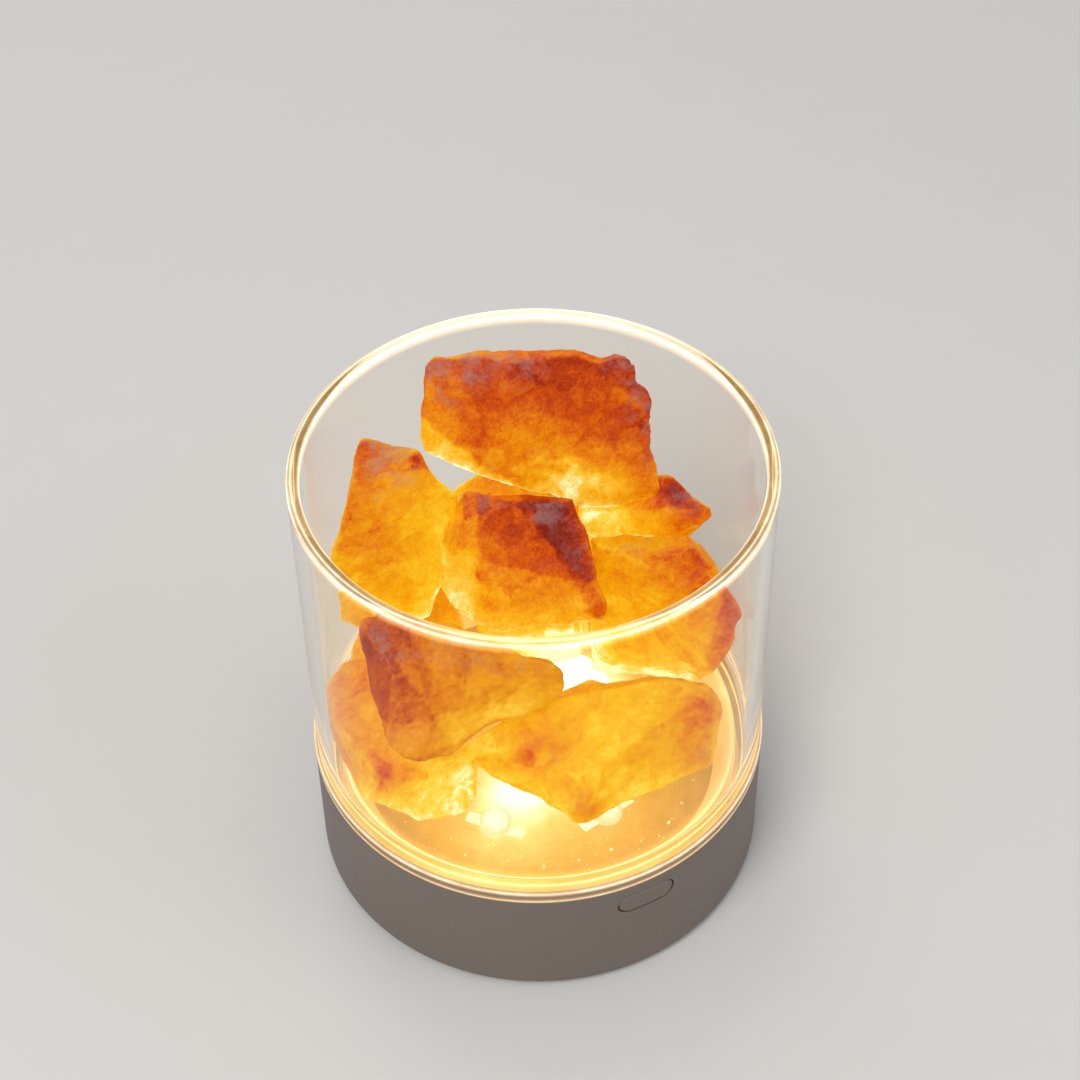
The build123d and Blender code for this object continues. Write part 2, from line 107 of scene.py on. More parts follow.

# Spots of painted light, painted shade and dust on each stone: x, y, z and radius in millimetres, how much
# the spot's painted glow is raised or lowered and how much dustier it is
GLOW_AND_DUST_SPOTS = {
    "stone_back_slab": (
        (-0.3, 37.1, 85.5, 6, 0, 0.65), (7, 34, 87, 5, 0, 0.5), (14, 31, 87.5, 5, -0.02, 0.45),
        (29.8, 22.9, 87.5, 5, -0.15, 0.55), (34, 18.5, 79, 5, -0.05, 0.65), (34, 14.5, 71, 5, -0.03, 0.6),
        (33.5, 14.5, 64, 3.5, 0, 0.35), (-0.5, 31, 70, 4, -0.14, 0.55), (6, 27, 66, 3.5, -0.08, 0.35),
        (-3, 33, 71, 4, 0.1, -0.5), (0.5, 31, 66.8, 2.6, 0.3, -0.5), (15, 26, 72.5, 8, 0.17, -0.2),
        (16.6, 22, 64.2, 6, 0.12, -0.2), (18, 20.8, 61.8, 7, 0.15, -0.4),
        (17.6, 21.2, 62.4, 3.6, 0.22, -0.5), (24, 18.5, 62, 6, 0.2, -0.4), (27.4, 18, 68.5, 6, -0.14, 0),
        (20, 27, 79, 10, -0.05, 0), (2.8, 31.5, 75.3, 7, -0.08, 0), (1.9, 35.5, 83.7, 7, -0.05, 0),
    ),
    "stone_back_right": (
        (37.5, 8, 62, 4, -0.1, 0.4), (35.5, 11, 62, 5, -0.34, 0.05), (22, 17, 57, 9, 0.22, 0),
    ),
    "stone_left": (
        (-11, 32.9, 76.5, 5, -0.06, 0.5), (-16, 31.1, 75, 7, 0.02, 0.42), (-8, 30, 73.5, 2.4, -0.28, 0),
        (-26, 21, 46.5, 4, -0.22, 0), (-7.8, 23.7, 60, 6, 0.12, 0), (-21.9, 23, 57.5, 7, -0.07, 0),
    ),
    "stone_centre": (
        (8.9, 12.2, 67.5, 3.5, 0.02, 0.7), (13, 5.1, 60.5, 3, 0, 0.3), (-1.5, 22, 68, 4, -0.05, 0.35),
        (-3.5, 11, 50, 1.8, -0.28, 0), (-4.6, 14, 55.5, 1.6, -0.25, 0), (12.8, 0.6, 53.8, 3.2, -0.12, 0.2),
        (12.2, -1.4, 50.5, 3, -0.1, 0.1), (1, 16, 63.5, 6, 0.06, -0.2), (1.4, 16.8, 67.7, 4, -0.09, 0.05),
    ),
    "stone_under_centre": ((9.2, 8.2, 34, 7, 0.45, -0.5),),
    "stone_right": (
        (14, 4, 33.4, 5, 0.28, -0.4), (38, -10.5, 50.5, 5, -0.1, 0.18), (20.5, 4.4, 54, 3.5, -0.14, 0.1),
        (24.5, 3, 59.5, 6, 0.02, 0.25), (19, -0.5, 37, 7, -0.14, 0),
    ),
    "stone_front_left_top": (
        (-29, 6, 58, 5.5, -0.08, 0.35), (-2.2, -9.7, 48.7, 4.5, -0.12, 0), (-15, 2, 54, 6, 0, 0.25),
    ),
    "stone_front_left": (
        (-34.7, -6.3, 36.4, 3.4, -0.38, 0), (-38.4, 0, 36, 4, -0.18, 0), (-28, -13, 32, 9, 0.08, 0),
        (-22.5, -11.5, 34.5, 6.5, 0.1, -0.3),
    ),
    "stone_front_right": (
        (-9.8, -13.9, 37.3, 3.2, -0.26, 0.3), (-4.6, -27.7, 31, 4.5, -0.38, 0.1),
        (-4.6, -17, 38.6, 4.5, -0.1, 0.22), (-4.6, -23.8, 33.7, 4.5, -0.12, 0.15),
        (9.4, -18.8, 41.6, 9, 0.12, -0.1), (25, -21, 41, 5, -0.14, 0.1), (20.5, -27.5, 34, 5, -0.16, 0.2),
    ),
}

# Painted glow and dust changes at a flat inside or on a stone: x, y, z of a place on the flat in millimetres,
# the way that the changed side lies, the width of the change, how much brighter that side's painted glow is
# and how much dustier
FLATS = {
    "stone_centre": (
        (4.5, 7, 57.2, -0.05, 0.1, -1, 0.7, 0.13, -0.2),
        (-4.5, 15.2, 58.8, -0.894, 0.448, 0.058, 0.7, 0.14, -0.3),
        (10.6, 2.7, 53.7, 0.93, -0.07, 0.36, 0.8, -0.14, 0.08),
    ),
    "stone_right": ((32.2, -10.9, 45.7, 0.8, -0.4, -0.22, 0.8, -0.15, 0),),
    "stone_front_left_top": (
        (-27, -3, 53, -0.85, -0.35, 0.1, 0.7, -0.14, 0), (-27, -7, 49.5, -0.1, -0.4, -0.9, 0.7, 0.12, 0),
    ),
    "stone_front_right": ((-5, -16.5, 38.5, -0.9, 0.3, 0, 0.8, -0.06, 0),),
    "stone_back_slab": ((-1, 32.9, 73.2, -0.72, 0, -0.69, 0.7, 0.22, -0.5),),
}

# Facets whose painted glow is lighter or darker than the light through them says: x, y, z of a place on the
# facet in millimetres, how much brighter its painted glow is and how much dustier
FACETS = {
    "stone_centre": (
        (6.7, 14.9, 68.7, -0.14, 0.06), (13, 5.1, 59.5, 0.06, 0.08), (-0.4, 21.5, 67.2, -0.14, 0.35),
        (-6, 11.5, 49.4, 0, -0.2),
    ),
    "stone_right": ((36.5, -10.5, 51.5, -0.07, 0.08), (31.6, -1.7, 59.3, -0.08, 0.2)),
    "stone_left": ((-11, 32.9, 75.1, -0.04, 0.3), (-14.2, 20.1, 53.8, -0.05, 0)),
    "stone_front_left_top": ((-31.3, -1.3, 53, -0.1, 0), (-26.6, 6.1, 58.1, -0.04, 0.2)),
    "stone_front_left": ((-38.2, 3.7, 37.8, -0.12, 0),),
    "stone_front_right": ((-13.1, -10.2, 36.9, 0.05, 0), (17.9, -26.9, 32.8, -0.1, 0.1)),
    "stone_back_right": ((37.6, 8.9, 61.9, -0.12, 0.1),),
}

# Knobs and notches on the stones: x, y, z and radius of the place, and how far it moves along x, y and z,
# all in millimetres
KNOBS = {
    "stone_left": (
        (-17.9, 33.3, 76.8, 3.2, 0.3, 2.1, 2), (-9.9, 31.9, 74.3, 3, 2.1, -0.3, 0.7),
        (-13.5, 20.4, 53, 5, 2.7, -2, -0.6), (-17.4, 20.5, 47.6, 5, 2.8, -2.4, -1),
        (-28.2, 25.9, 59.1, 4, -0.6, 0.3, 0), (-4.9, 25, 66.5, 4, 2.4, -1.2, -0.8),
        (-7.2, 23, 61, 4, 1.6, -0.8, 0),
    ),
    "stone_centre": (
        (-2.8, 21.9, 66.3, 3, 0, 1.7, 1.6), (-8.3, 19, 54.3, 4.5, -1.4, 0.7, 0),
        (-6.2, 21.4, 61.3, 4, -1.8, 0.4, -0.4), (13.6, 8.6, 63.4, 3, 1.1, -0.4, 0.2),
        (13.7, 4.5, 59, 3.5, 1, -0.3, 0.2), (13.3, -1.1, 52.5, 3.5, 1.1, -0.8, -0.2),
        (12.8, 13, 67.9, 2.5, 1, -0.1, 0.4),
    ),
    "stone_right": (
        (36.4, -10.9, 51.2, 3, 1.4, -1.9, -1), (18, 7.4, 58.8, 3, -1.3, 1.4, 0.7),
        (31.5, -2, 59.3, 3, 1.4, -0.1, 0.5), (34.3, -13.2, 42.4, 4, 1.3, -0.7, 0),
    ),
    "stone_front_left_top": (
        (-15.8, -11.4, 44.3, 4.5, -0.1, 1.5, 1.3), (-15.7, 2.9, 55.6, 3.5, 0.6, 1.2, 1.4),
        (-29.1, 7.6, 58.7, 3, -0.8, 1.5, 1),
    ),
    "stone_front_left": ((-35.9, 8.5, 44.7, 5, -1.6, 1.1, 0.2), (-37.5, 5.7, 43, 5, -1.3, 0.7, 0)),
    "stone_front_right": (
        (-14.6, -9, 35.9, 4, -2.2, 1.1, 0), (-4.1, -27, 31.6, 3.2, -2, -0.3, -1.2),
        (24.7, -23.1, 39.7, 4, 1, -0.5, 0), (-12, -17.3, 31.3, 4, -0.2, 0.8, 0.6),
    ),
    "stone_back_slab": (
        (-0.6, 38.4, 87.3, 3, 0.6, 1.1, 1.3), (6, 35.6, 87.5, 3.5, 1.3, 0.5, 1),
        (33.1, 18.5, 77.9, 4, 1, -0.3, 0.2), (32.5, 14.9, 62.2, 4, 1, -1.6, -1),
        (26.3, 17.3, 63, 5, -0.6, -1.8, -1.9), (20.7, 19.7, 62, 5, -0.6, -1.7, -1.8),
        (26.6, 25.5, 88.5, 2.4, 0, 0, -1.5),
    ),
    "stone_back_right": (
        (35.3, 12.4, 61.3, 4, 0.2, 1.7, 1.6), (38.4, 4.7, 60.7, 3, 1.4, -0.7, 0),
        (25.3, 23.7, 55.2, 4, -0.5, 1.9, 1.5), (21.7, 18.4, 52.7, 3, -1.2, 0.1, -0.5),
    ),
    "stone_under_back": ((4, 33.4, 55, 5.5, -5.2, 2.6, 0), (0.5, 30.5, 47, 5.5, -4.6, 2.3, 0)),
}


# ---------------------------------------------------------------- sizes and colours


class LampSizes(bpy.types.PropertyGroup):
    segments: IntProperty(
        name="Segments round", description="Steps in each round piece", default=192, min=48, max=384
    )
    cup_wall: FloatProperty(
        name="Cup wall", description="Thickness of the cup's wall", default=0.0023, unit="LENGTH"
    )
    cup_floor: FloatProperty(
        name="Cup floor", description="Thickness of the cup's floor", default=0.0030, unit="LENGTH"
    )
    rim_round: FloatProperty(
        name="Rim rounding", description="Radius on each edge of the cup's rim",
        default=0.0009, unit="LENGTH",
    )
    stone_grain: FloatProperty(
        name="Stone grain", description="Edge of the cells that the stones are meshed with",
        default=0.00048, unit="LENGTH",
    )
    stone_proud: FloatProperty(
        name="Stone proud", description="How far a stone's grain stands out of its plain form",
        default=0.0006, unit="LENGTH",
    )
    chip_depth: FloatProperty(
        name="Chip depth", description="How deep the chips on a stone's edges go",
        default=0.0009, unit="LENGTH",
    )
    crumbs: IntProperty(
        name="Crumbs", description="Loose crumbs of salt on the cup's floor", default=280, min=0, max=600
    )


class LampColours(bpy.types.PropertyGroup):
    base: FloatVectorProperty(
        name="Base", description="Moulded plastic of the base", default=(0.180, 0.145, 0.125),
        subtype="COLOR", min=0, max=1,
    )
    salt_dust: FloatVectorProperty(
        name="Salt dust", description="Pale dust on the stones", default=(0.25, 0.145, 0.145),
        subtype="COLOR", min=0, max=1,
    )
    rim_light: FloatVectorProperty(
        name="Rim light", description="Light that leaves the cup at its sharpest edges",
        default=(1.0, 0.90, 0.69), subtype="COLOR", min=0, max=1,
    )
    wall_light: FloatVectorProperty(
        name="Wall light", description="Fainter light in the cup near its edges",
        default=(1.0, 0.58, 0.17), subtype="COLOR", min=0, max=1,
    )
    lamp_light: FloatVectorProperty(
        name="Lamp light", description="Light of the board under the cup", default=(1.0, 0.52, 0.07),
        subtype="COLOR", min=0, max=1,
    )
    floor: FloatVectorProperty(
        name="Floor", description="Studio floor", default=(0.66, 0.645, 0.62), subtype="COLOR", min=0, max=1
    )


class LampLight(bpy.types.PropertyGroup):
    lit: BoolProperty(name="Lit", description="The lamp is switched on", default=True)
    reach: FloatProperty(
        name="Reach in salt", description="How far the light goes through salt before most of it is gone",
        default=0.0063, unit="LENGTH",
    )
    spread: FloatProperty(
        name="Spread in air", description="How far from an LED its light is half gone",
        default=0.0073, unit="LENGTH",
    )
    glow: FloatProperty(
        name="Stone glow", description="Strength of the light that leaves the stones",
        default=0.68, min=0, max=4,
    )


# ---------------------------------------------------------------- shared steps


def deselect_all():
    bpy.ops.object.select_all(action="DESELECT")


def activate(piece):
    deselect_all()
    piece.select_set(True)
    bpy.context.view_layer.objects.active = piece


def edit(piece):
    activate(piece)
    bpy.ops.object.mode_set(mode="EDIT")
    bpy.ops.mesh.select_mode(type="VERT")
    bpy.ops.mesh.select_all(action="SELECT")


def leave_edit():
    bpy.ops.object.mode_set(mode="OBJECT")


def apply_modifier(piece, kind, **settings):
    """Add a modifier to the piece and apply it."""
    activate(piece)
    modifier = piece.modifiers.new(kind.title(), kind)
    for setting, value in settings.items():
        setattr(modifier, setting, value)
    bpy.ops.object.modifier_apply(modifier=modifier.name)


def smooth_faces(piece, degrees):
    activate(piece)
    bpy.ops.object.shade_smooth_by_angle(angle=radians(degrees))


def settle(piece):
    """Move the object's place into its mesh."""
    activate(piece)
    bpy.ops.object.transform_apply(location=True, rotation=True, scale=True)


def points_of(piece):
    places = np.empty(len(piece.data.vertices) * 3)
    piece.data.vertices.foreach_get("co", places)
    return places.reshape(-1, 3)


def write_points(piece, places):
    piece.data.vertices.foreach_set("co", np.ascontiguousarray(places, dtype=np.float32).ravel())
    piece.data.update()


def normals_of(piece):
    normals = np.empty(len(piece.data.vertices) * 3)
    piece.data.vertex_normals.foreach_get("vector", normals)
    return normals.reshape(-1, 3)


def write_attribute(piece, name, values):
    """Keep one number for each point of the mesh, for the piece's material to read."""
    layer = piece.data.attributes.new(name, "FLOAT", "POINT")
    layer.data.foreach_set("value", np.ascontiguousarray(values, dtype=np.float32))


def finish_piece(piece, material, body, slot, node):
    """Give the piece its material and body, and let it stand for its CAD node. The slot is not used."""
    piece.data.materials.clear()
    piece.data.materials.append(material)
    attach(piece, body)
    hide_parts(node)


def copy_of_node(node, name):
    """A merged copy of a CAD node's mesh, with its flat faces joined again."""
    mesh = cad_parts[node].data.copy()
    mesh.materials.clear()
    piece = bpy.data.objects.new(name, mesh)
    bpy.context.scene.collection.objects.link(piece)
    activate(piece)
    if mesh.has_custom_normals:
        bpy.ops.mesh.customdata_custom_splitnormals_clear()
    edit(piece)
    bpy.ops.mesh.remove_doubles(threshold=0.00001)
    bpy.ops.mesh.dissolve_limited(angle_limit=radians(1))
    leave_edit()
    return piece


def rounded(corners):
    """A closed outline of (radius, height) in millimetres from its corners, each with its rounding.

    A corner is (radius, height, rounding, longest step of the run that follows it).
    """
    outline = []
    for index, (x, z, rounding, step) in enumerate(corners):
        next_x, next_z, next_rounding, _ = corners[(index + 1) % len(corners)]
        here, goal = Vector((x, z)), Vector((next_x, next_z))
        if rounding:
            back = (Vector(corners[index - 1][:2]) - here).normalized()
            on = (goal - here).normalized()
            half = asin(min(1.0, (back - on).length / 2))
            reach = rounding / (sin(half) / cos(half))
            centre = here + (back + on).normalized() * rounding / sin(half)
            start, end = here + back * reach - centre, here + on * reach - centre
            arc = [start.slerp(end, part / 8) * rounding for part in range(1, 8)]
            outline.extend(centre + point for point in (start, *arc, end))
        else:
            outline.append(here)
        last = outline[-1]
        run = (goal - last).length - next_rounding
        pieces = max(1, round(run / step))
        for part in range(1, pieces):
            outline.append(last + (goal - last).normalized() * run * part / pieces)
    return [(point.x, point.y) for point in outline]


def spun(name, outline, segments, smooth):
    """Draw a closed outline of (radius, height) in millimetres and spin it round the lamp's axis.

    Faces that meet at less than the angle smooth, in degrees, are shaded as one.
    """
    deselect_all()
    bpy.ops.mesh.primitive_plane_add(size=MM)
    piece = bpy.context.object
    piece.name = name
    edit(piece)
    bpy.ops.mesh.merge(type="CENTER")
    reach, height = outline[0]
    bpy.ops.transform.translate(value=(reach * MM, 0, height * MM))
    for (x0, z0), (x1, z1) in zip(outline, outline[1:] + outline[:1]):
        step = ((x1 - x0) * MM, 0, (z1 - z0) * MM)
        bpy.ops.mesh.extrude_vertices_move(TRANSFORM_OT_translate={"value": step})
    bpy.ops.mesh.select_all(action="SELECT")
    bpy.ops.mesh.remove_doubles(threshold=0.000005)
    bpy.ops.mesh.select_all(action="SELECT")
    bpy.ops.mesh.spin(steps=segments, angle=2 * pi, center=(0, 0, 0), axis=(0, 0, 1))
    bpy.ops.mesh.select_all(action="SELECT")
    bpy.ops.mesh.remove_doubles(threshold=0.000005)
    bpy.ops.mesh.normals_make_consistent(inside=False)
    leave_edit()
    settle(piece)
    smooth_faces(piece, smooth)
    return piece


# ---------------------------------------------------------------- materials


class Nodes:
    """The node tree of one material, with its coordinates and its shader."""

    def __init__(self, name):
        self.material = bpy.data.materials.new(name)
        self.material.use_nodes = True
        self.tree = self.material.node_tree
        self.shader = self.tree.nodes["Principled BSDF"]
        self.output = self.tree.nodes["Material Output"]
        self.places = self.add("ShaderNodeTexCoord").outputs["Object"]

    def add(self, kind, values=(), **settings):
        """Add a node. Values name its inputs, and each is a number, a colour or another node's output."""
        node = self.tree.nodes.new(kind)
        for setting, value in settings.items():
            setattr(node, setting, value)
        for socket, value in dict(values).items():
            self.give(node, socket, value)
        return node

    def give(self, node, socket, value):
        """Link a node's output to the input, or write a number, a vector or a colour in it."""
        entry = node.inputs[socket]
        if isinstance(value, bpy.types.NodeSocket):
            self.tree.links.new(value, entry)
        else:
            entry.default_value = (*value[:3], 1.0) if entry.type == "RGBA" else value

    def set(self, **values):
        """Set the shader's inputs, whose names are written with _ for a space."""
        for name, value in values.items():
            self.give(self.shader, name.replace("_", " "), value)

    def noise(self, scale, detail, roughness, distortion=0.0, places=None):
        values = {"Vector": places or self.places, "Scale": scale, "Detail": detail,
                  "Roughness": roughness, "Distortion": distortion}
        return self.add("ShaderNodeTexNoise", values).outputs["Fac"]

    def stretched(self, scale, rotation):
        """The places, turned and scaled to draw a pattern out along one way."""
        values = {"Vector": self.places, "Scale": scale, "Rotation": rotation}
        return self.add("ShaderNodeMapping", values).outputs["Vector"]

    def math(self, operation, first, second, clamp=False):
        node = self.add("ShaderNodeMath", {0: first, 1: second}, operation=operation, use_clamp=clamp)
        return node.outputs["Value"]

    def range(self, value, low, high, to_low=0.0, to_high=1.0, smooth=False):
        values = {"Value": value, "From Min": low, "From Max": high, "To Min": to_low, "To Max": to_high}
        kind = "SMOOTHSTEP" if smooth else "LINEAR"
        return self.add("ShaderNodeMapRange", values, interpolation_type=kind, clamp=True).outputs["Result"]

    def spread(self, noise_value, to_low, to_high):
        """Spread the values that a noise mostly takes, 0.3 to 0.7, over another range."""
        return self.range(noise_value, 0.3, 0.7, to_low, to_high)

    def ramp(self, value, stops):
        """Colours along a value: stops are (place, (red, green, blue))."""
        node = self.add("ShaderNodeValToRGB", {"Fac": value})
        band = node.color_ramp.elements
        while len(band) < len(stops):
            band.new(0.5)
        for element, (place, colour) in zip(band, stops):
            element.position = place
            element.color = (*colour, 1.0)
        return node.outputs["Color"]

    def mix(self, share, first, second):
        """Mix two colours, which are the node's inputs 6 and 7."""
        return self.add("ShaderNodeMix", {0: share, 6: first, 7: second}, data_type="RGBA").outputs[2]

    def attribute(self, name):
        return self.add("ShaderNodeAttribute", attribute_name=name).outputs["Fac"]

    def bump(self, height, strength, distance):
        values = {"Height": height, "Strength": strength, "Distance": distance}
        return self.add("ShaderNodeBump", values).outputs["Normal"]


def shade(colour, factor):
    return tuple(min(1.0, channel * factor) for channel in colour)


def moulded_plastic(name, colour):
    """Matte moulded plastic with a fine spark-eroded grain and faint flow clouds."""
    nodes = Nodes(name)
    fine = nodes.noise(2600.0, 3.0, 0.6)
    broad = nodes.noise(38.0, 2.0, 0.5)
    tone = nodes.mix(nodes.range(broad, 0.3, 0.7), shade(colour, 0.96), shade(colour, 1.04))
    tone = nodes.mix(nodes.range(fine, 0.35, 0.65, 0.0, 0.35), tone, shade(colour, 0.86))
    nodes.set(Base_Color=tone, Roughness=nodes.spread(fine, 0.46, 0.62), Specular_IOR_Level=0.42)
    nodes.set(Normal=nodes.bump(fine, 0.30, 0.00012))
    return nodes.material


def soft_rubber(name):
    nodes = Nodes(name)
    fine = nodes.noise(1800.0, 3.0, 0.6)
    nodes.set(Base_Color=nodes.mix(fine, (0.022, 0.021, 0.020), (0.045, 0.042, 0.040)))
    nodes.set(Roughness=nodes.spread(fine, 0.68, 0.85), Normal=nodes.bump(fine, 0.4, 0.0001))
    return nodes.material


def bare_metal(name, colour, roughness):
    nodes = Nodes(name)
    grain = nodes.noise(900.0, 4.0, 0.7, 0.4)
    nodes.set(Base_Color=nodes.mix(grain, shade(colour, 0.82), colour), Metallic=1.0)
    nodes.set(Roughness=nodes.range(grain, 0.25, 0.75, roughness - 0.08, roughness + 0.12))
    nodes.set(Normal=nodes.bump(grain, 0.15, 0.00005))
    return nodes.material


def coated_board(name, colour, trace):
    """A circuit board's solder mask over its traces."""
    nodes = Nodes(name)
    traces = nodes.add(
        "ShaderNodeTexVoronoi", {"Vector": nodes.places, "Scale": 420.0}, feature="F1", distance="CHEBYCHEV"
    ).outputs["Distance"]
    lines = nodes.range(traces, 0.42, 0.46)
    weave = nodes.noise(2400.0, 2.0, 0.5)
    nodes.set(Base_Color=nodes.mix(lines, nodes.mix(weave, colour, shade(colour, 1.15)), trace))
    nodes.set(Roughness=nodes.spread(weave, 0.30, 0.42), Normal=nodes.bump(lines, 0.25, 0.00004))
    return nodes.material


def speckled_finish(name, dark, pale, scale, roughness, bump=0.3):
    """A plain finish with grain in its colour, gloss and surface, for the pieces inside the base."""
    nodes = Nodes(name)
    grain = nodes.noise(scale, 4.0, 0.6)
    nodes.set(Base_Color=nodes.mix(grain, dark, pale))
    nodes.set(Roughness=nodes.spread(grain, roughness - 0.06, roughness + 0.08))
    nodes.set(Normal=nodes.bump(grain, bump, 0.00008))
    return nodes.material


def salt(name, look, dust_colour, strength):
    """Lit rock salt. The mesh holds how much light comes through at each point, and its dust."""
    nodes = Nodes(name)
    clouds = nodes.noise(150.0, 4.0, 0.55, 0.5)
    streaks = nodes.noise(420.0, 6.0, 0.68, 0.7, nodes.stretched((1.0, 2.6, 1.0), (0.5, 0.3, 0.8)))
    grain = nodes.noise(1300.0, 4.0, 0.7)
    specks = nodes.noise(620.0, 3.0, 0.75)
    crystals = nodes.noise(3300.0, 2.0, 0.6)
    level = nodes.attribute("glow")
    for pattern, low, change in (
        (clouds, 0.25, 0.038), (streaks, 0.3, 0.068), (grain, 0.3, 0.06), (crystals, 0.3, 0.05),
    ):
        level = nodes.math("ADD", level, nodes.range(pattern, low, 1 - low, -change, change))
    level = nodes.math("SUBTRACT", level, nodes.range(specks, 0.64, 0.73, 0.0, 0.16))

    light = nodes.ramp(level, list(zip(LIGHT_STEPS, look)))
    # Painted light: the base colour is a darkened copy of the light's colour at each point, brighter where
    # more light comes through
    glow_tinted_skin = nodes.ramp(level, [(step, shade(colour, 0.36)) for step, colour in zip(LIGHT_STEPS, look)])

    patches = nodes.noise(340.0, 6.0, 0.72, 0.4)
    dusty = nodes.math("MULTIPLY", nodes.attribute("dust"), nodes.range(patches, 0.38, 0.60, 0.15, 1.25))
    dusty = nodes.math("ADD", dusty, nodes.spread(grain, -0.18, 0.14))
    dusty = nodes.range(dusty, 0.10, 0.90, 0.0, 0.68, smooth=True)

    nodes.set(Base_Color=nodes.mix(dusty, glow_tinted_skin, dust_colour))
    nodes.set(Roughness=nodes.spread(grain, 0.38, 0.62), Specular_IOR_Level=0.14)
    nodes.set(Emission_Color=light)
    hot = nodes.range(level, 0.95, 1.15, 1.0, 2.0)
    nodes.set(Emission_Strength=nodes.math(
        "MULTIPLY", nodes.math("MULTIPLY", hot, strength), nodes.range(dusty, 0.0, 1.0, 1.0, 0.42)))
    relief = nodes.math("ADD", nodes.math("MULTIPLY", grain, 0.5), nodes.math("MULTIPLY", streaks, 0.8))
    nodes.set(Normal=nodes.bump(relief, 0.55, 0.00022))
    return nodes.material


# The colours of each look of salt, from the least light through it to the most, and where they stand
LIGHT_STEPS = (0.0, 0.15, 0.30, 0.45, 0.60, 0.75, 0.90, 1.0)
SALT_LOOKS = {
    "red": (
        (0.22, 0.012, 0.0008), (0.38, 0.026, 0.0008), (0.60, 0.072, 0.0010), (0.76, 0.175, 0.0013),
        (0.86, 0.320, 0.003), (0.94, 0.470, 0.010), (1.0, 0.66, 0.09), (1.0, 0.84, 0.40),
    ),
    "amber": (
        (0.26, 0.014, 0.0008), (0.48, 0.034, 0.0008), (0.68, 0.105, 0.0010), (0.80, 0.240, 0.0013),
        (0.88, 0.375, 0.002), (0.95, 0.510, 0.007), (1.0, 0.70, 0.06), (1.0, 0.86, 0.38),
    ),
    "brown": (
        (0.20, 0.012, 0.0008), (0.36, 0.030, 0.0010), (0.54, 0.085, 0.0014), (0.70, 0.190, 0.0018),
        (0.80, 0.310, 0.003), (0.88, 0.420, 0.008), (0.96, 0.58, 0.05), (1.0, 0.78, 0.28),
    ),
}


def clear_plastic(name, rim_light, wall_light):
    """Clear acrylic. It lets lamps' light through, and light leaves it at its edges and its scratches."""
    nodes = Nodes(name)
    edge = nodes.attribute("edge_light")
    worn = nodes.attribute("wear")
    down = nodes.stretched((1.0, 1.0, 0.10), (0.22, 0.12, 0.0))
    scratches = nodes.range(nodes.noise(900.0, 4.0, 0.7, 0.3, down), 0.60, 0.72)
    dust = nodes.range(nodes.noise(1500.0, 2.0, 0.6), 0.70, 0.76)
    marks_and_glints = nodes.math("MULTIPLY", nodes.math("MAXIMUM", scratches, dust), worn)
    mottle = nodes.spread(nodes.noise(260.0, 4.0, 0.6), 0.82, 1.12)
    # Besides roughening the acrylic, the scratches and dust specks get a faint painted glow
    light = nodes.math("ADD", nodes.math("MULTIPLY", edge, mottle), nodes.math("MULTIPLY", marks_and_glints, 0.10))
    nodes.set(Base_Color=(0.995, 0.970, 0.915, 1.0), IOR=1.15, Transmission_Weight=1.0)
    nodes.set(Specular_Tint=(0.10, 0.10, 0.10, 1.0))
    nodes.set(Roughness=nodes.range(marks_and_glints, 0.0, 1.0, 0.0, 0.08))
    nodes.set(Emission_Color=nodes.mix(nodes.range(light, 0.35, 1.05), wall_light, rim_light))
    nodes.set(Emission_Strength=light)
    passes = nodes.add("ShaderNodeBsdfTransparent", {"Color": (0.95, 0.94, 0.92, 1.0)})
    path = nodes.add("ShaderNodeLightPath")
    both = nodes.add("ShaderNodeMixShader", {0: path.outputs["Is Shadow Ray"]})
    nodes.tree.links.new(nodes.shader.outputs["BSDF"], both.inputs[1])
    nodes.tree.links.new(passes.outputs["BSDF"], both.inputs[2])
    nodes.tree.links.new(both.outputs["Shader"], nodes.output.inputs["Surface"])
    return nodes.material


def lit_surface(name, colour, light, strength):
    """A pale surface that the LEDs light. The mesh holds how much light falls on each point."""
    nodes = Nodes(name)
    clouds = nodes.noise(210.0, 4.0, 0.6)
    level = nodes.math("MULTIPLY", nodes.attribute("glow"), nodes.spread(clouds, 0.90, 1.10))
    tone = nodes.ramp(nodes.math("MULTIPLY", level, 0.5, clamp=True), [
        (0.0, shade(light, 0.55)), (0.32, light), (0.55, (1.0, 0.66, 0.22)), (1.0, (1.0, 0.90, 0.62)),
    ])
    # The warm base colour is a painted tint of the LEDs' light on the pale surface
    nodes.set(Base_Color=nodes.mix(clouds, shade(colour, 0.9), colour), Roughness=0.5)
    nodes.set(Emission_Color=tone, Emission_Strength=nodes.math("MULTIPLY", level, strength))
    nodes.set(Normal=nodes.bump(nodes.noise(1700.0, 3.0, 0.6), 0.2, 0.00005))
    return nodes.material


def bead_finish(name, pattern, dark, pale, weak, strong, **settings):
    """A finish that glows as its bead does, most where its own fine pattern is pale."""
    nodes = Nodes(name)
    grain = nodes.noise(*pattern)
    nodes.set(Base_Color=nodes.mix(grain, dark, pale), **settings)
    level = nodes.spread(grain, weak, strong)
    nodes.set(Emission_Strength=nodes.math("MULTIPLY", nodes.attribute("led_glow"), level))
    return nodes, grain


# ---------------------------------------------------------------- light through the heap


def led_points():
    """The tops of the LEDs' lenses."""
    turns = [radians(angle) for angle in LED_ANGLES]
    return [np.array((LED_REACH * cos(turn), LED_REACH * sin(turn), LENS_HIGH.z)) for turn in turns]


def from_leds(places):
    """How far each place is from the nearest LED, in millimetres."""
    return np.min([np.linalg.norm(places - point, axis=1) for point in led_points()], axis=0) / MM


def flat_sides(node):
    """The planes of a convex CAD node: outward normals and their distances from the origin."""
    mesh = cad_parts[node].data
    normals = np.array([face.normal for face in mesh.polygons], float)
    centres = np.array([face.center for face in mesh.polygons], float)
    return normals, (normals * centres).sum(axis=1)


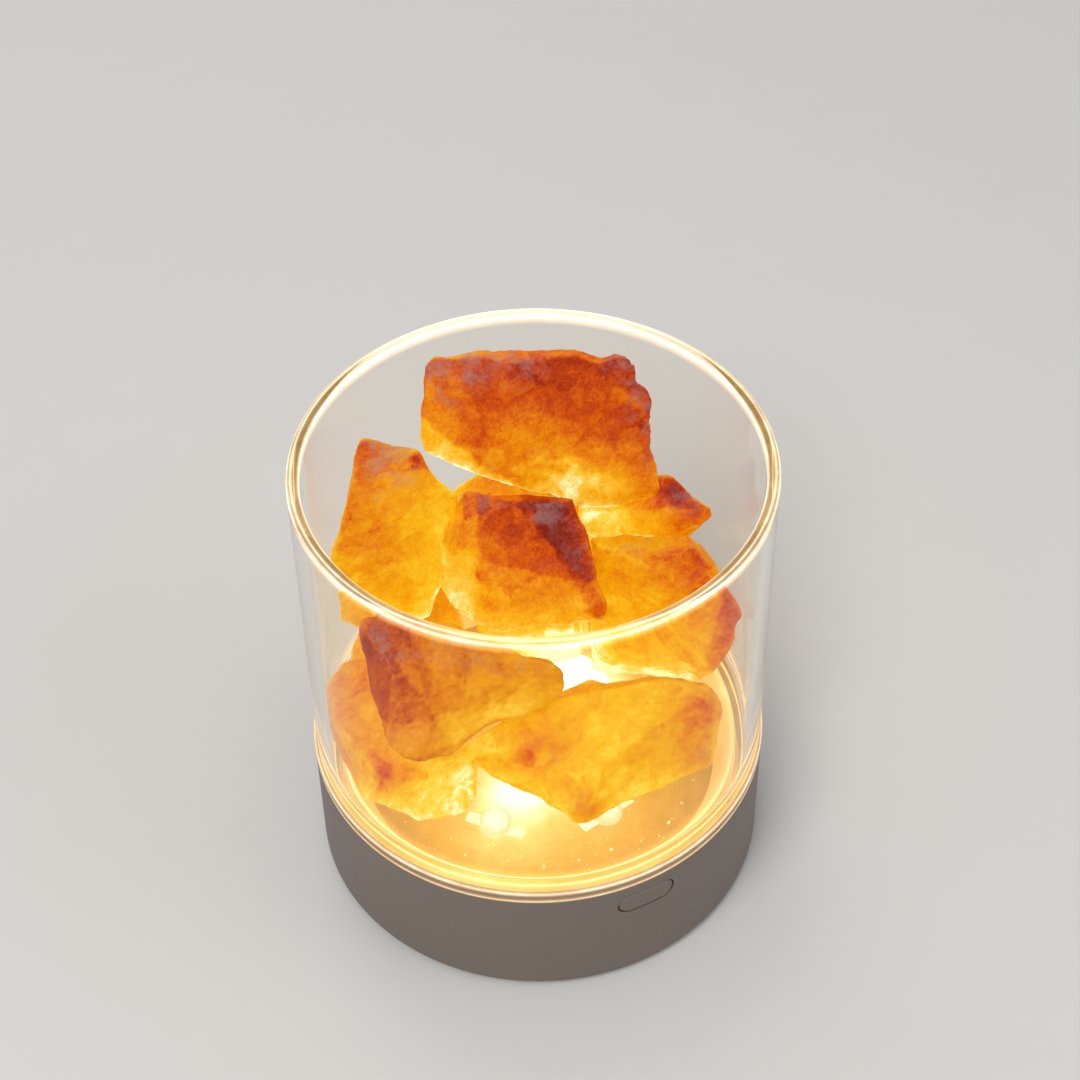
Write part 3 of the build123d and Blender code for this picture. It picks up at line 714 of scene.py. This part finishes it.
def salt_crossed(places, source, solids):
    """How much salt the straight line from a source to each place goes through, and the line's length."""
    ways = places - source
    lengths = np.linalg.norm(ways, axis=1)
    crossed = np.zeros(len(places))
    for normals, offsets in solids:
        along = ways @ normals.T
        ahead = (offsets - normals @ source)[None, :]
        with np.errstate(divide="ignore", invalid="ignore"):
            meets = ahead / along
        enters = np.where(along < -1e-9, meets, -1e9).max(axis=1)
        leaves = np.where(along > 1e-9, meets, 1e9).min(axis=1)
        inside = np.clip(leaves, 0, 1) - np.clip(enters, 0, 1)
        missed = np.any((np.abs(along) <= 1e-9) & (ahead < 0), axis=1)
        crossed += np.where(missed, 0, np.maximum(inside, 0)) * lengths
    return crossed, lengths


def light_through_salt(places, normals, solids, light):
    """The glow at each point: the light that gets there, and how squarely it meets the surface."""
    total = np.zeros(len(places))
    square = np.zeros(len(places))
    for source in led_points():
        crossed, lengths = salt_crossed(places, source, solids)
        share = np.exp(-crossed / light.reach) / (1 + (lengths / light.spread) ** 2)
        total += share
        square += share * np.abs(((places - source) * normals).sum(axis=1)) / lengths
    return 0.935 + 0.11 * np.log(total + 1e-4) + 0.46 * (square / (total + 1e-9) - 0.62)


def apart_from(places, middle):
    """How far each place is from a middle, in millimetres."""
    return np.linalg.norm(places / MM - np.array(middle), axis=1)


# ---------------------------------------------------------------- operators


class SALTLAMP_OT_stage(bpy.types.Operator):
    """Build the pale studio: floor, lamps, world and the camera at the photograph's angle"""

    bl_idname = "salt_lamp.stage"
    bl_label = "Studio and camera"

    def execute(self, context):
        colours = context.scene.lamp_colours
        deselect_all()
        bpy.ops.mesh.primitive_circle_add(vertices=96, radius=3.0, fill_type="NGON")
        floor = context.object
        floor.name = "studio_floor"
        settle(floor)
        nodes = Nodes("studio_floor_paint")
        fine = nodes.noise(60.0, 3.0, 0.5)
        nodes.set(Base_Color=nodes.mix(fine, shade(colours.floor, 0.985), colours.floor), Roughness=0.75)
        nodes.set(Specular_IOR_Level=0.2)
        floor.data.materials.append(nodes.material)

        world = bpy.data.worlds.new("studio_world")
        world.use_nodes = True
        sky = world.node_tree.nodes["Background"].inputs
        sky["Color"].default_value = (0.97, 0.98, 1.0, 1.0)
        sky["Strength"].default_value = 0.50
        world.cycles.sampling_method = "NONE"
        context.scene.world = world

        for name, place, size, power in (
            ("key_lamp", (-0.55, -0.35, 0.85), 0.55, 5.6),
            ("fill_lamp", (0.65, -0.60, 0.60), 0.70, 1.6),
            ("back_lamp", (0.10, 0.80, 0.75), 0.60, 1.8),
        ):
            lamp = bpy.data.lights.new(name, "AREA")
            lamp.shape = "DISK"
            lamp.size = size
            lamp.energy = power
            holder = bpy.data.objects.new(name, lamp)
            context.scene.collection.objects.link(holder)
            holder.location = place
            down = Vector((0, 0, 0.045)) - Vector(place)
            holder.rotation_euler = down.to_track_quat("-Z", "Y").to_euler()
            holder.visible_transmission = False
            holder.visible_glossy = name != "fill_lamp"

        self.add_camera(context.scene)
        context.scene.view_settings.view_transform = "Standard"
        return {"FINISHED"}

    def add_camera(self, scene):
        """Stand the camera where the photograph was taken from."""
        camera = bpy.data.objects.new("camera", bpy.data.cameras.new("camera"))
        scene.collection.objects.link(camera)
        camera.location = VIEW_PLACE
        camera.rotation_euler = [radians(angle) for angle in VIEW_TURN]
        camera.data.lens = VIEW_LENS
        camera.data.sensor_width = 36.0
        camera.data.clip_start = 0.01
        scene.camera = camera


class SALTLAMP_OT_base(bpy.types.Operator):
    """Finish the base: housing, cover, feet, screws, board, battery, socket and wires"""

    bl_idname = "salt_lamp.base"
    bl_label = "Base and what is in it"

    def execute(self, context):
        colours = context.scene.lamp_colours
        shell = moulded_plastic("base_plastic", tuple(colours.base))
        finishes = {
            ("housing", "bottom_cover", "button_cap"): shell,
            ("feet",): soft_rubber("foot_rubber_grain"),
            ("cover_screws", "board_screws"): bare_metal("screw_steel_grain", (0.56, 0.55, 0.53), 0.32),
            ("usb_shell",): bare_metal("socket_steel_grain", (0.62, 0.62, 0.61), 0.26),
            ("switch_plunger", "switch_body", "usb_tongue"): speckled_finish(
                "black_nylon", (0.012, 0.012, 0.013), (0.024, 0.024, 0.026), 1900.0, 0.5),
            ("board_parts",): speckled_finish(
                "part_cases", (0.016, 0.016, 0.017), (0.040, 0.040, 0.042), 900.0, 0.45),
            ("switch_board", "control_board"): coated_board(
                "green_solder_mask", (0.010, 0.085, 0.038), (0.022, 0.150, 0.060)),
            ("battery_pad",): speckled_finish(
                "grey_foam", (0.05, 0.05, 0.05), (0.16, 0.16, 0.155), 1300.0, 0.85, 0.9),
            ("battery",): speckled_finish(
                "battery_film", (0.020, 0.055, 0.135), (0.026, 0.070, 0.165), 300.0, 0.24, 0.2),
            ("battery_wires", "led_wires"): speckled_finish(
                "wire_sleeve", (0.36, 0.016, 0.012), (0.46, 0.024, 0.018), 700.0, 0.42),
        }
        for names, material in finishes.items():
            for name in names:
                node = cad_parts[name]
                if not node.data.materials:
                    node.data.materials.append(material)
                for index in range(len(node.data.materials)):
                    node.data.materials[index] = material
        return {"FINISHED"}


class SALTLAMP_OT_board(bpy.types.Operator):
    """Build the lit board and the white reflector round it"""

    bl_idname = "salt_lamp.board"
    bl_label = "Lit board and reflector"

    def execute(self, context):
        sizes, colours = context.scene.lamp_sizes, context.scene.lamp_colours
        low, high = BOARD_LOW.z / MM, BOARD_HIGH.z / MM
        reach = BOARD_HIGH.x / MM
        board = spun("lit_board", rounded([
            (0, low, 0, 3.0), (reach, low, 0.15, 3.0), (reach, high, 0.15, 0.9), (0, high, 0, 3.0),
        ]), sizes.segments, 35)
        places = points_of(board)
        radius = np.hypot(places[:, 0], places[:, 1]) / MM
        glow = 0.57 + 0.16 * np.exp(-((from_leds(places) - 3.0) / 6.0) ** 2)
        for x, y, spread, brighter in HOT_PLACES:
            glow += brighter * np.exp(-((apart_from(places, (x, y, high)) / spread) ** 2))
        glow *= np.where(radius > 27, 0.56 + 0.44 * np.clip((38.5 - radius) / 11.5, 0, 1), 1)
        glow[places[:, 2] < BOARD_HIGH.z - 0.0003] = 0.03
        write_attribute(board, "glow", glow)
        light = tuple(colours.lamp_light)
        # The board's dark amber base colour is painted light from the LEDs on its pale face
        material = lit_surface("lit_board_mask", (0.30, 0.17, 0.04), light, 0.84)
        finish_piece(board, material, "base", "lit_board", "led_board")

        low, high = REFLECTOR_LOW.z / MM, REFLECTOR_HIGH.z / MM
        top = REFLECTOR_HIGH.x / MM
        wall, slope = 0.8, 3.2
        reflector = spun("reflector_ring", rounded([
            (top - slope - wall, low, 0.1, 0.4), (top - slope, low, 0.1, 1.0),
            (top, high, 0.25, 0.4), (top - wall, high, 0.25, 1.0),
        ]), sizes.segments, 40)
        near = from_leds(points_of(reflector))
        write_attribute(reflector, "glow", 0.50 + 0.4 * np.exp(-((near - 9.0) / 9.0) ** 2))
        # The reflector's beige base colour is a painted warm tint of the LEDs' light on its white satin
        material = lit_surface("reflector_white_satin", (0.62, 0.54, 0.40), light, 0.62)
        finish_piece(reflector, material, "base", "reflector_white", "reflector")
        return {"FINISHED"}


class SALTLAMP_OT_beads(bpy.types.Operator):
    """Build the six LED beads with their lenses and flat leads"""

    bl_idname = "salt_lamp.beads"
    bl_label = "LED beads"

    def execute(self, context):
        foot, shoulder, crown = BODY_LOW.z / MM, BODY_HIGH.z / MM, LENS_HIGH.z / MM
        white, _ = bead_finish(
            "led_ceramic", (1500.0, 3.0, 0.6), (0.36, 0.28, 0.17), (0.46, 0.37, 0.23), 0.56, 0.70,
            Emission_Color=(1.0, 0.84, 0.50, 1.0), Roughness=0.45)
        lens, swirl = bead_finish(
            "led_lens_silicone", (900.0, 2.0, 0.5), (0.44, 0.37, 0.25), (0.56, 0.50, 0.37), 0.62, 0.86,
            Roughness=0.12, IOR=1.41)
        lens.set(Emission_Color=lens.mix(swirl, (1.0, 0.92, 0.70), (1.0, 0.97, 0.86)))
        tin, sheen = bead_finish(
            "led_tinned_lead", (1100.0, 4.0, 0.65), (0.66, 0.62, 0.54), (0.80, 0.76, 0.68), 0.62, 0.92,
            Emission_Color=(1.0, 0.86, 0.56, 1.0), Metallic=0.6)
        tin.set(Roughness=tin.spread(sheen, 0.25, 0.4))

        bead, lip, bowl, glass = 3.0, 2.55, 2.25, 2.2
        bodies = spun("led_bead_body", rounded([
            (0.0, foot, 0, 1.5), (bead, foot, 0.1, 1.0), (bead, shoulder, 0.25, 1.0),
            (lip, shoulder, 0.1, 0.5), (bowl, shoulder - 0.25, 0.1, 0.8), (0.0, shoulder - 0.25, 0, 1.0),
        ]), 40, 40)
        steps = [step * pi / 18 for step in range(9)]
        dome = [(glass * cos(step), shoulder + (crown - shoulder) * sin(step)) for step in steps]
        outline = [(0.0, shoulder - 0.2), (glass, shoulder - 0.2), *dome, (0.0, crown)]
        lenses = spun("led_bead_lens", outline, 40, 60)

        deselect_all()
        bpy.ops.mesh.primitive_cube_add(size=1, location=(0, 4.25 * MM, (foot + 0.2) * MM))
        leads = context.object
        leads.name = "led_bead_leads"
        edit(leads)
        bpy.ops.transform.resize(value=(2.2 * MM, 3.1 * MM, 0.4 * MM), center_override=leads.location)
        bpy.ops.mesh.bevel(offset=0.12 * MM, segments=2, affect="EDGES")
        leave_edit()
        settle(leads)
        edit(leads)
        bpy.ops.mesh.duplicate()
        bpy.ops.transform.rotate(value=pi, orient_axis="Z", center_override=(0, 0, 0))
        leave_edit()
        smooth_faces(leads, 40)

        for kind, material, slot, node in (
            (bodies, white.material, "led_white", "led_bodies"),
            (lenses, lens.material, "led_lens", "led_lenses"),
            (leads, tin.material, "tinned_metal", "led_leads"),
        ):
            name = kind.name
            for number, (angle, point) in enumerate(zip(LED_ANGLES, led_points()), 1):
                copied = number < len(LED_ANGLES)
                piece = kind.copy() if copied else kind
                if copied:
                    piece.data = kind.data.copy()
                    context.scene.collection.objects.link(piece)
                piece.name = f"{name}_{number}"
                turn = Matrix.Rotation(radians(angle), 4, "Z")
                piece.data.transform(turn @ Matrix.Translation((LED_REACH, 0, 0)))
                x, y, spread, brighter = BLOOM
                apart = np.hypot(point[0] / MM - x, point[1] / MM - y) / (spread + 6)
                warm = 1 + 0.6 * brighter * np.exp(-(apart**2))
                write_attribute(piece, "led_glow", np.full(len(piece.data.vertices), warm))
                finish_piece(piece, material, "base", slot, node)
        return {"FINISHED"}


class SALTLAMP_OT_cup(bpy.types.Operator):
    """Build the clear cup with its rounded rim, flange and spigot"""

    bl_idname = "salt_lamp.cup"
    bl_label = "Clear cup"

    def execute(self, context):
        sizes, colours = context.scene.lamp_sizes, context.scene.lamp_colours
        top, foot = CUP_HIGH.z / MM, CUP_LOW.z / MM
        flange, spigot, spigot_bore = CUP_HIGH.x / MM, 40.0, 38.2
        outer = flange - 0.5
        bore = outer - sizes.cup_wall / MM
        rim = sizes.rim_round / MM
        joint = BODY_LOW.z / MM + 7.4
        shoulder, under = joint + 2.8, joint + 0.4
        deck = under + sizes.cup_floor / MM
        cup = spun("clear_cup", rounded([
            (0.0, under, 0, 2.2), (spigot_bore, under, 0.3, 0.6), (spigot_bore, foot, 0.2, 0.45),
            (spigot, foot, 0.3, 0.45), (spigot, joint, 0.15, 0.5), (flange, joint, 0.4, 0.35),
            (flange, shoulder, 0.4, 0.25), (outer, shoulder, 0.12, 1.4), (outer, top, rim, 0.25),
            (bore, top, rim, 1.4), (bore, deck, 1.2, 1.2), (0.0, deck, 0, 2.0),
        ]), sizes.segments, 50)
        places = points_of(cup)
        radius, height = np.hypot(places[:, 0], places[:, 1]) / MM, places[:, 2] / MM

        def near(across, level, width):
            """How near each point is to one ring of the outline."""
            return np.exp(-((radius - across) ** 2 + (height - level) ** 2) / width**2)

        on_rim = np.clip((height - (top - rim - 0.35)) / 0.5, 0, 1)
        rings = (bore + 0.12, outer - 0.85, outer - 0.12)
        lines = sum(np.exp(-(((radius - across) / 0.22) ** 2)) for across in rings)
        light = on_rim * (0.42 + 0.75 * lines)
        light += 0.95 * near(flange, joint + 2.5, 0.45) + 0.80 * near(outer - 0.1, joint + 3.6, 0.6)
        light += 0.75 * near(flange, joint + 0.4, 0.5) + 0.55 * near(bore - 0.35, deck + 0.35, 0.6)
        on_spigot = (radius > spigot_bore - 0.6) & (radius < spigot + 0.6) & (height < deck - 0.6)
        light += np.where(on_spigot, 0.40, 0)
        light += np.where(height > deck, 0.07 * np.exp(-(height - deck) / 4.0), 0)
        floor_top = (radius < bore - 0.8) & (height > deck - 0.2) & (height < deck + 0.3)
        light += np.where(floor_top, 0.025 + 0.02 * np.exp(-(radius / 20.0) ** 2), 0)
        write_attribute(cup, "edge_light", light)
        on_wall = (height > deck + 2) & (height < top - 2)
        worn = np.where(on_wall, 0.25 + 0.75 * np.exp(-((height - deck - 8.0) / 16.0) ** 2), 0.25)
        write_attribute(cup, "wear", np.where(floor_top, 0.9, worn))
        material = clear_plastic("clear_acrylic", tuple(colours.rim_light), tuple(colours.wall_light))
        finish_piece(cup, material, "cup", "clear", "cup")
        return {"FINISHED"}


class SALTLAMP_OT_stones(bpy.types.Operator):
    """Break and roughen the salt stones, and work out the light that comes through each"""

    bl_idname = "salt_lamp.stones"
    bl_label = "Salt stones"

    def execute(self, context):
        sizes, light = context.scene.lamp_sizes, context.scene.lamp_light
        dust = tuple(context.scene.lamp_colours.salt_dust)
        strength = light.glow if light.lit else 0.0
        materials = {
            look: salt(f"{look}_rock_salt", colours, dust, strength) for look, colours in SALT_LOOKS.items()
        }
        textures = self.textures()
        solids = {name: flat_sides(name) for name in STONES}
        for node, (look, brighter, dusty, seed) in STONES.items():
            draw = np.random.RandomState(seed)
            stone = copy_of_node(node, node.replace("stone", "salt"))
            self.chip(stone, draw, sizes.chip_depth)
            apply_modifier(stone, "REMESH", mode="VOXEL", voxel_size=0.9 * MM)
            self.roughen(stone, textures[:2])
            apply_modifier(stone, "DECIMATE", ratio=0.055)
            flakes = BVHTree.FromPolygons(
                [vertex.co.copy() for vertex in stone.data.vertices],
                [tuple(face.vertices) for face in stone.data.polygons],
            )
            tones = draw.normal(0, 0.030, len(stone.data.polygons))
            apply_modifier(stone, "REMESH", mode="VOXEL", voxel_size=sizes.stone_grain)
            apply_modifier(stone, "SMOOTH", factor=0.5, iterations=1)
            before = points_of(stone)
            self.roughen(stone, textures[2:])
            relief = self.hold_in(stone, before, solids[node], sizes.stone_proud)
            self.push_out(stone, node)
            smooth_faces(stone, 42)

            places = points_of(stone)
            flaked, facing = self.flake_tones(places, flakes, tones)
            glow = light_through_salt(places, normals_of(stone), list(solids.values()), light) + brighter
            # Painted light and shade: deeper hollows glow a little more, each flake's random tone shifts its
            # glow, and flakes that face up glow less
            glow = np.maximum(glow, DIM + 0.4 * (glow - DIM)) + relief * 0.10 + flaked - 0.05 * facing
            dusted = dusty + 0.08 * facing + 0.9 * flaked
            for share, brightness, dustiness in self.touches(places, node, solids[node]):
                glow += share * brightness
                dusted += share * dustiness
            write_attribute(stone, "glow", glow)
            write_attribute(stone, "dust", dusted)
            slot = "salt_amber" if look == "amber" else "salt_red"
            finish_piece(stone, materials[look], "cup", slot, node)
        return {"FINISHED"}

    def flake_tones(self, places, flakes, tones):
        """The tone of the flake that each place is on, with ragged edges, and how far the flake looks up."""
        flaked, facing = np.zeros(len(places)), np.zeros(len(places))
        for index, place in enumerate(places):
            strayed = Vector(place) + noise.noise_vector(Vector(place) * 420) * 0.7 * MM
            _, normal, number, _ = flakes.find_nearest(strayed)
            flaked[index], facing[index] = tones[number], normal.z
        return flaked, facing

    def touches(self, places, node, sides):
        """The stone's spots, flats and facets of painted glow and dust: how much of each a place gets, its
        glow and dust.
        """
        wobble = np.array([noise.noise(Vector(place) * 330) + 0.5 * noise.noise(Vector(place) * 800)
                           for place in places])
        for *middle, radius, brightness, dustiness in GLOW_AND_DUST_SPOTS.get(node, ()):
            apart = apart_from(places, middle) / radius
            yield np.exp(-(np.maximum(apart + 0.45 * wobble, 0) ** 2) * 1.4), brightness, dustiness
        for x, y, z, *way, width, brightness, dustiness in FLATS.get(node, ()):
            ahead = (places / MM - np.array((x, y, z))) @ np.array(way) + 0.8 * wobble
            yield np.clip(0.5 + ahead / width, 0, 1), brightness, dustiness
        normals, offsets = sides
        side = (places @ normals.T - offsets).argmax(axis=1)
        for *middle, brightness, dustiness in FACETS.get(node, ()):
            facet = normals[(np.array(middle) * MM @ normals.T - offsets).argmax()]
            yield normals[side] @ facet > SAME_FACET, brightness, dustiness

    def textures(self):
        """The patterns that push a stone's surface in and out, from its broad hollows to its grain."""
        kinds = []
        for name, kind, size, strength, middle, settings in (
            ("broad_hollows", "CLOUDS", 8.0, 1.7, 0.5, {"noise_depth": 2, "noise_basis": "ORIGINAL_PERLIN"}),
            ("cleavage_steps", "VORONOI", 6.0, 0.9, 0.4,
             {"distance_metric": "CHEBYCHEV", "noise_intensity": 1.3}),
            ("flaked_faces", "CLOUDS", 3.2, 0.50, 0.5, {"noise_depth": 3, "noise_basis": "IMPROVED_PERLIN"}),
            ("rough_grain", "CLOUDS", 1.1, 0.34, 0.5, {"noise_depth": 3, "noise_basis": "BLENDER_ORIGINAL"}),
        ):
            texture = bpy.data.textures.new(name, kind)
            texture.noise_scale = size * MM
            for setting, value in settings.items():
                setattr(texture, setting, value)
            kinds.append((texture, strength * MM, middle))
        return kinds

    def chip(self, stone, draw, depth):
        """Break the stone's long edges and corners with small flat cuts."""
        for _ in range(10):
            mesh = stone.data
            sides = {}
            for face in mesh.polygons:
                for pair in face.edge_keys:
                    sides.setdefault(pair, []).append(face.normal)
            pairs = [pair for pair, normals in sides.items() if len(normals) == 2]
            ends = np.array([[mesh.vertices[number].co for number in pair] for pair in pairs], float)
            bends = np.array([1 - sides[pair][0].dot(sides[pair][1]) for pair in pairs])
            weights = np.linalg.norm(ends[:, 0] - ends[:, 1], axis=1) * (bends > 0.35) * bends
            pick = draw.choice(len(pairs), p=weights / weights.sum())
            out = np.array(sides[pairs[pick]][0] + sides[pairs[pick]][1])
            out = out / np.linalg.norm(out) + draw.normal(0, 0.25, 3)
            out /= np.linalg.norm(out)
            corners = points_of(stone)
            farthest = corners[(corners @ out).argmax()]
            cut = farthest - out * depth * draw.uniform(0.3, 1.0)
            edit(stone)
            bpy.ops.mesh.bisect(plane_co=tuple(cut), plane_no=tuple(out), use_fill=True, clear_outer=True)
            leave_edit()

    def push_out(self, stone, node):
        """Push the stone's knobs and notches out and in, and keep it clear of the cup."""
        places = points_of(stone)
        for x, y, z, radius, *way in KNOBS.get(node, ()):
            apart = apart_from(places, (x, y, z))
            places += np.exp(-((apart / radius) ** 2))[:, None] * np.array(way) * MM
        reach = np.hypot(places[:, 0], places[:, 1])
        places[:, :2] *= np.minimum(1, (CUP_HIGH.x - 3.1 * MM) / np.maximum(reach, MM))[:, None]
        places[:, 2] = np.maximum(places[:, 2], CRUMB_LOW.z)
        write_points(stone, places)

    def roughen(self, stone, textures):
        for texture, strength, middle in textures:
            apply_modifier(
                stone, "DISPLACE", texture=texture, strength=strength, mid_level=middle,
                texture_coords="LOCAL", direction="NORMAL",
            )

    def hold_in(self, stone, before, sides, room):
        """Keep the surface near the CAD stone, and tell how far each point lies in."""
        places = points_of(stone)
        normals, offsets = sides
        for _ in range(3):
            beyond = places @ normals.T - offsets
            worst = beyond.argmax(axis=1)
            over = np.maximum(beyond.max(axis=1) - room, 0)
            places = places - normals[worst] * over[:, None]
        write_points(stone, places)
        moved = ((places - before) * normals_of(stone)).sum(axis=1) / MM
        return np.clip(-(moved - moved.mean()), -1.0, 1.0)


class SALTLAMP_OT_crumbs(bpy.types.Operator):
    """Scatter crumbs of salt over the cup's floor, most of them along its front"""

    bl_idname = "salt_lamp.crumbs"
    bl_label = "Salt crumbs"

    def execute(self, context):
        sizes = context.scene.lamp_sizes
        draw = np.random.RandomState(5)
        deck = CRUMB_LOW.z / MM
        deselect_all()
        bpy.ops.mesh.primitive_ico_sphere_add(subdivisions=1, radius=1.0)
        grain = context.object
        shape = points_of(grain)
        base = grain.data.copy()
        bpy.data.objects.remove(grain)
        pieces = []
        for number in range(sizes.crumbs):
            if number < LARGE_CRUMBS:
                angle = radians(CRUMB_FRONT - 20 + number * 10 + draw.uniform(-3, 3))
                reach = 35.6 + draw.uniform(-1.2, 1.2)
                size = draw.uniform(0.20, 0.30)
            else:
                near = draw.uniform() < 0.7
                angle = radians(CRUMB_FRONT + draw.normal(0, 38)) if near else draw.uniform(0, 2 * pi)
                reach = 39.0 - abs(draw.normal(0, 5.5)) if near else 38.9 * draw.uniform() ** 0.5
                size = 0.05 + 0.11 * draw.uniform() ** 3
            mesh = base.copy()
            crumb = bpy.data.objects.new(f"crumb_{number}", mesh)
            context.scene.collection.objects.link(crumb)
            squash = draw.uniform(0.65, 1.25, 3)
            jitter = shape * squash * draw.uniform(0.75, 1.2, (len(shape), 1)) * size
            spin = draw.uniform(0, 2 * pi)
            turned = jitter @ np.array(Matrix.Rotation(spin, 3, "Z")).T
            turned[:, 2] -= turned[:, 2].min() + 0.02
            turned += (reach * cos(angle), reach * sin(angle), deck)
            write_points(crumb, turned * MM)
            pieces.append(crumb)
        deselect_all()
        for crumb in pieces:
            crumb.select_set(True)
        context.view_layer.objects.active = pieces[0]
        bpy.ops.object.join()
        crumbs = context.object
        crumbs.name = "salt_crumb_scatter"
        nodes = Nodes("crumb_salt")
        tone = nodes.noise(420.0, 2.0, 0.5)
        nodes.set(Base_Color=nodes.mix(tone, (0.62, 0.36, 0.10), (0.92, 0.80, 0.56)), Roughness=0.28)
        # The crumbs get a painted glow of the LEDs' light, strongest where their tone is pale
        nodes.set(Emission_Color=nodes.mix(tone, (1.0, 0.50, 0.08), (1.0, 0.86, 0.52)))
        nodes.set(Emission_Strength=nodes.spread(tone, 0.40, 1.15))
        finish_piece(crumbs, nodes.material, "cup", "salt_amber", "salt_crumbs")
        return {"FINISHED"}


OPERATORS = (
    SALTLAMP_OT_stage, SALTLAMP_OT_base, SALTLAMP_OT_board, SALTLAMP_OT_beads,
    SALTLAMP_OT_cup, SALTLAMP_OT_stones, SALTLAMP_OT_crumbs,
)


class SALTLAMP_PT_panel(bpy.types.Panel):
    """The lamp's sizes, colours and building steps"""

    bl_label = "Salt Lamp"
    bl_idname = "SALTLAMP_PT_panel"
    bl_space_type = "VIEW_3D"
    bl_region_type = "UI"
    bl_category = "Salt Lamp"

    def draw(self, context):
        layout = self.layout
        for group in ("lamp_sizes", "lamp_colours", "lamp_light"):
            box = layout.box()
            settings = getattr(context.scene, group)
            for name in settings.bl_rna.properties.keys():
                if name not in ("rna_type", "name"):
                    box.prop(settings, name)
        for operator in OPERATORS:
            layout.operator(operator.bl_idname)


GROUPS = {"lamp_sizes": LampSizes, "lamp_colours": LampColours, "lamp_light": LampLight}
CLASSES = (*GROUPS.values(), *OPERATORS, SALTLAMP_PT_panel)


def register():
    for entry in CLASSES:
        bpy.utils.register_class(entry)
    for name, group in GROUPS.items():
        setattr(bpy.types.Scene, name, PointerProperty(type=group))


def unregister():
    for name in GROUPS:
        delattr(bpy.types.Scene, name)
    for entry in reversed(CLASSES):
        bpy.utils.unregister_class(entry)


def main():
    register()
    bpy.ops.salt_lamp.stage()
    bpy.ops.salt_lamp.base()
    bpy.ops.salt_lamp.board()
    bpy.ops.salt_lamp.beads()
    bpy.ops.salt_lamp.cup()
    bpy.ops.salt_lamp.stones()
    bpy.ops.salt_lamp.crumbs()


if __name__ == "__main__":
    main()
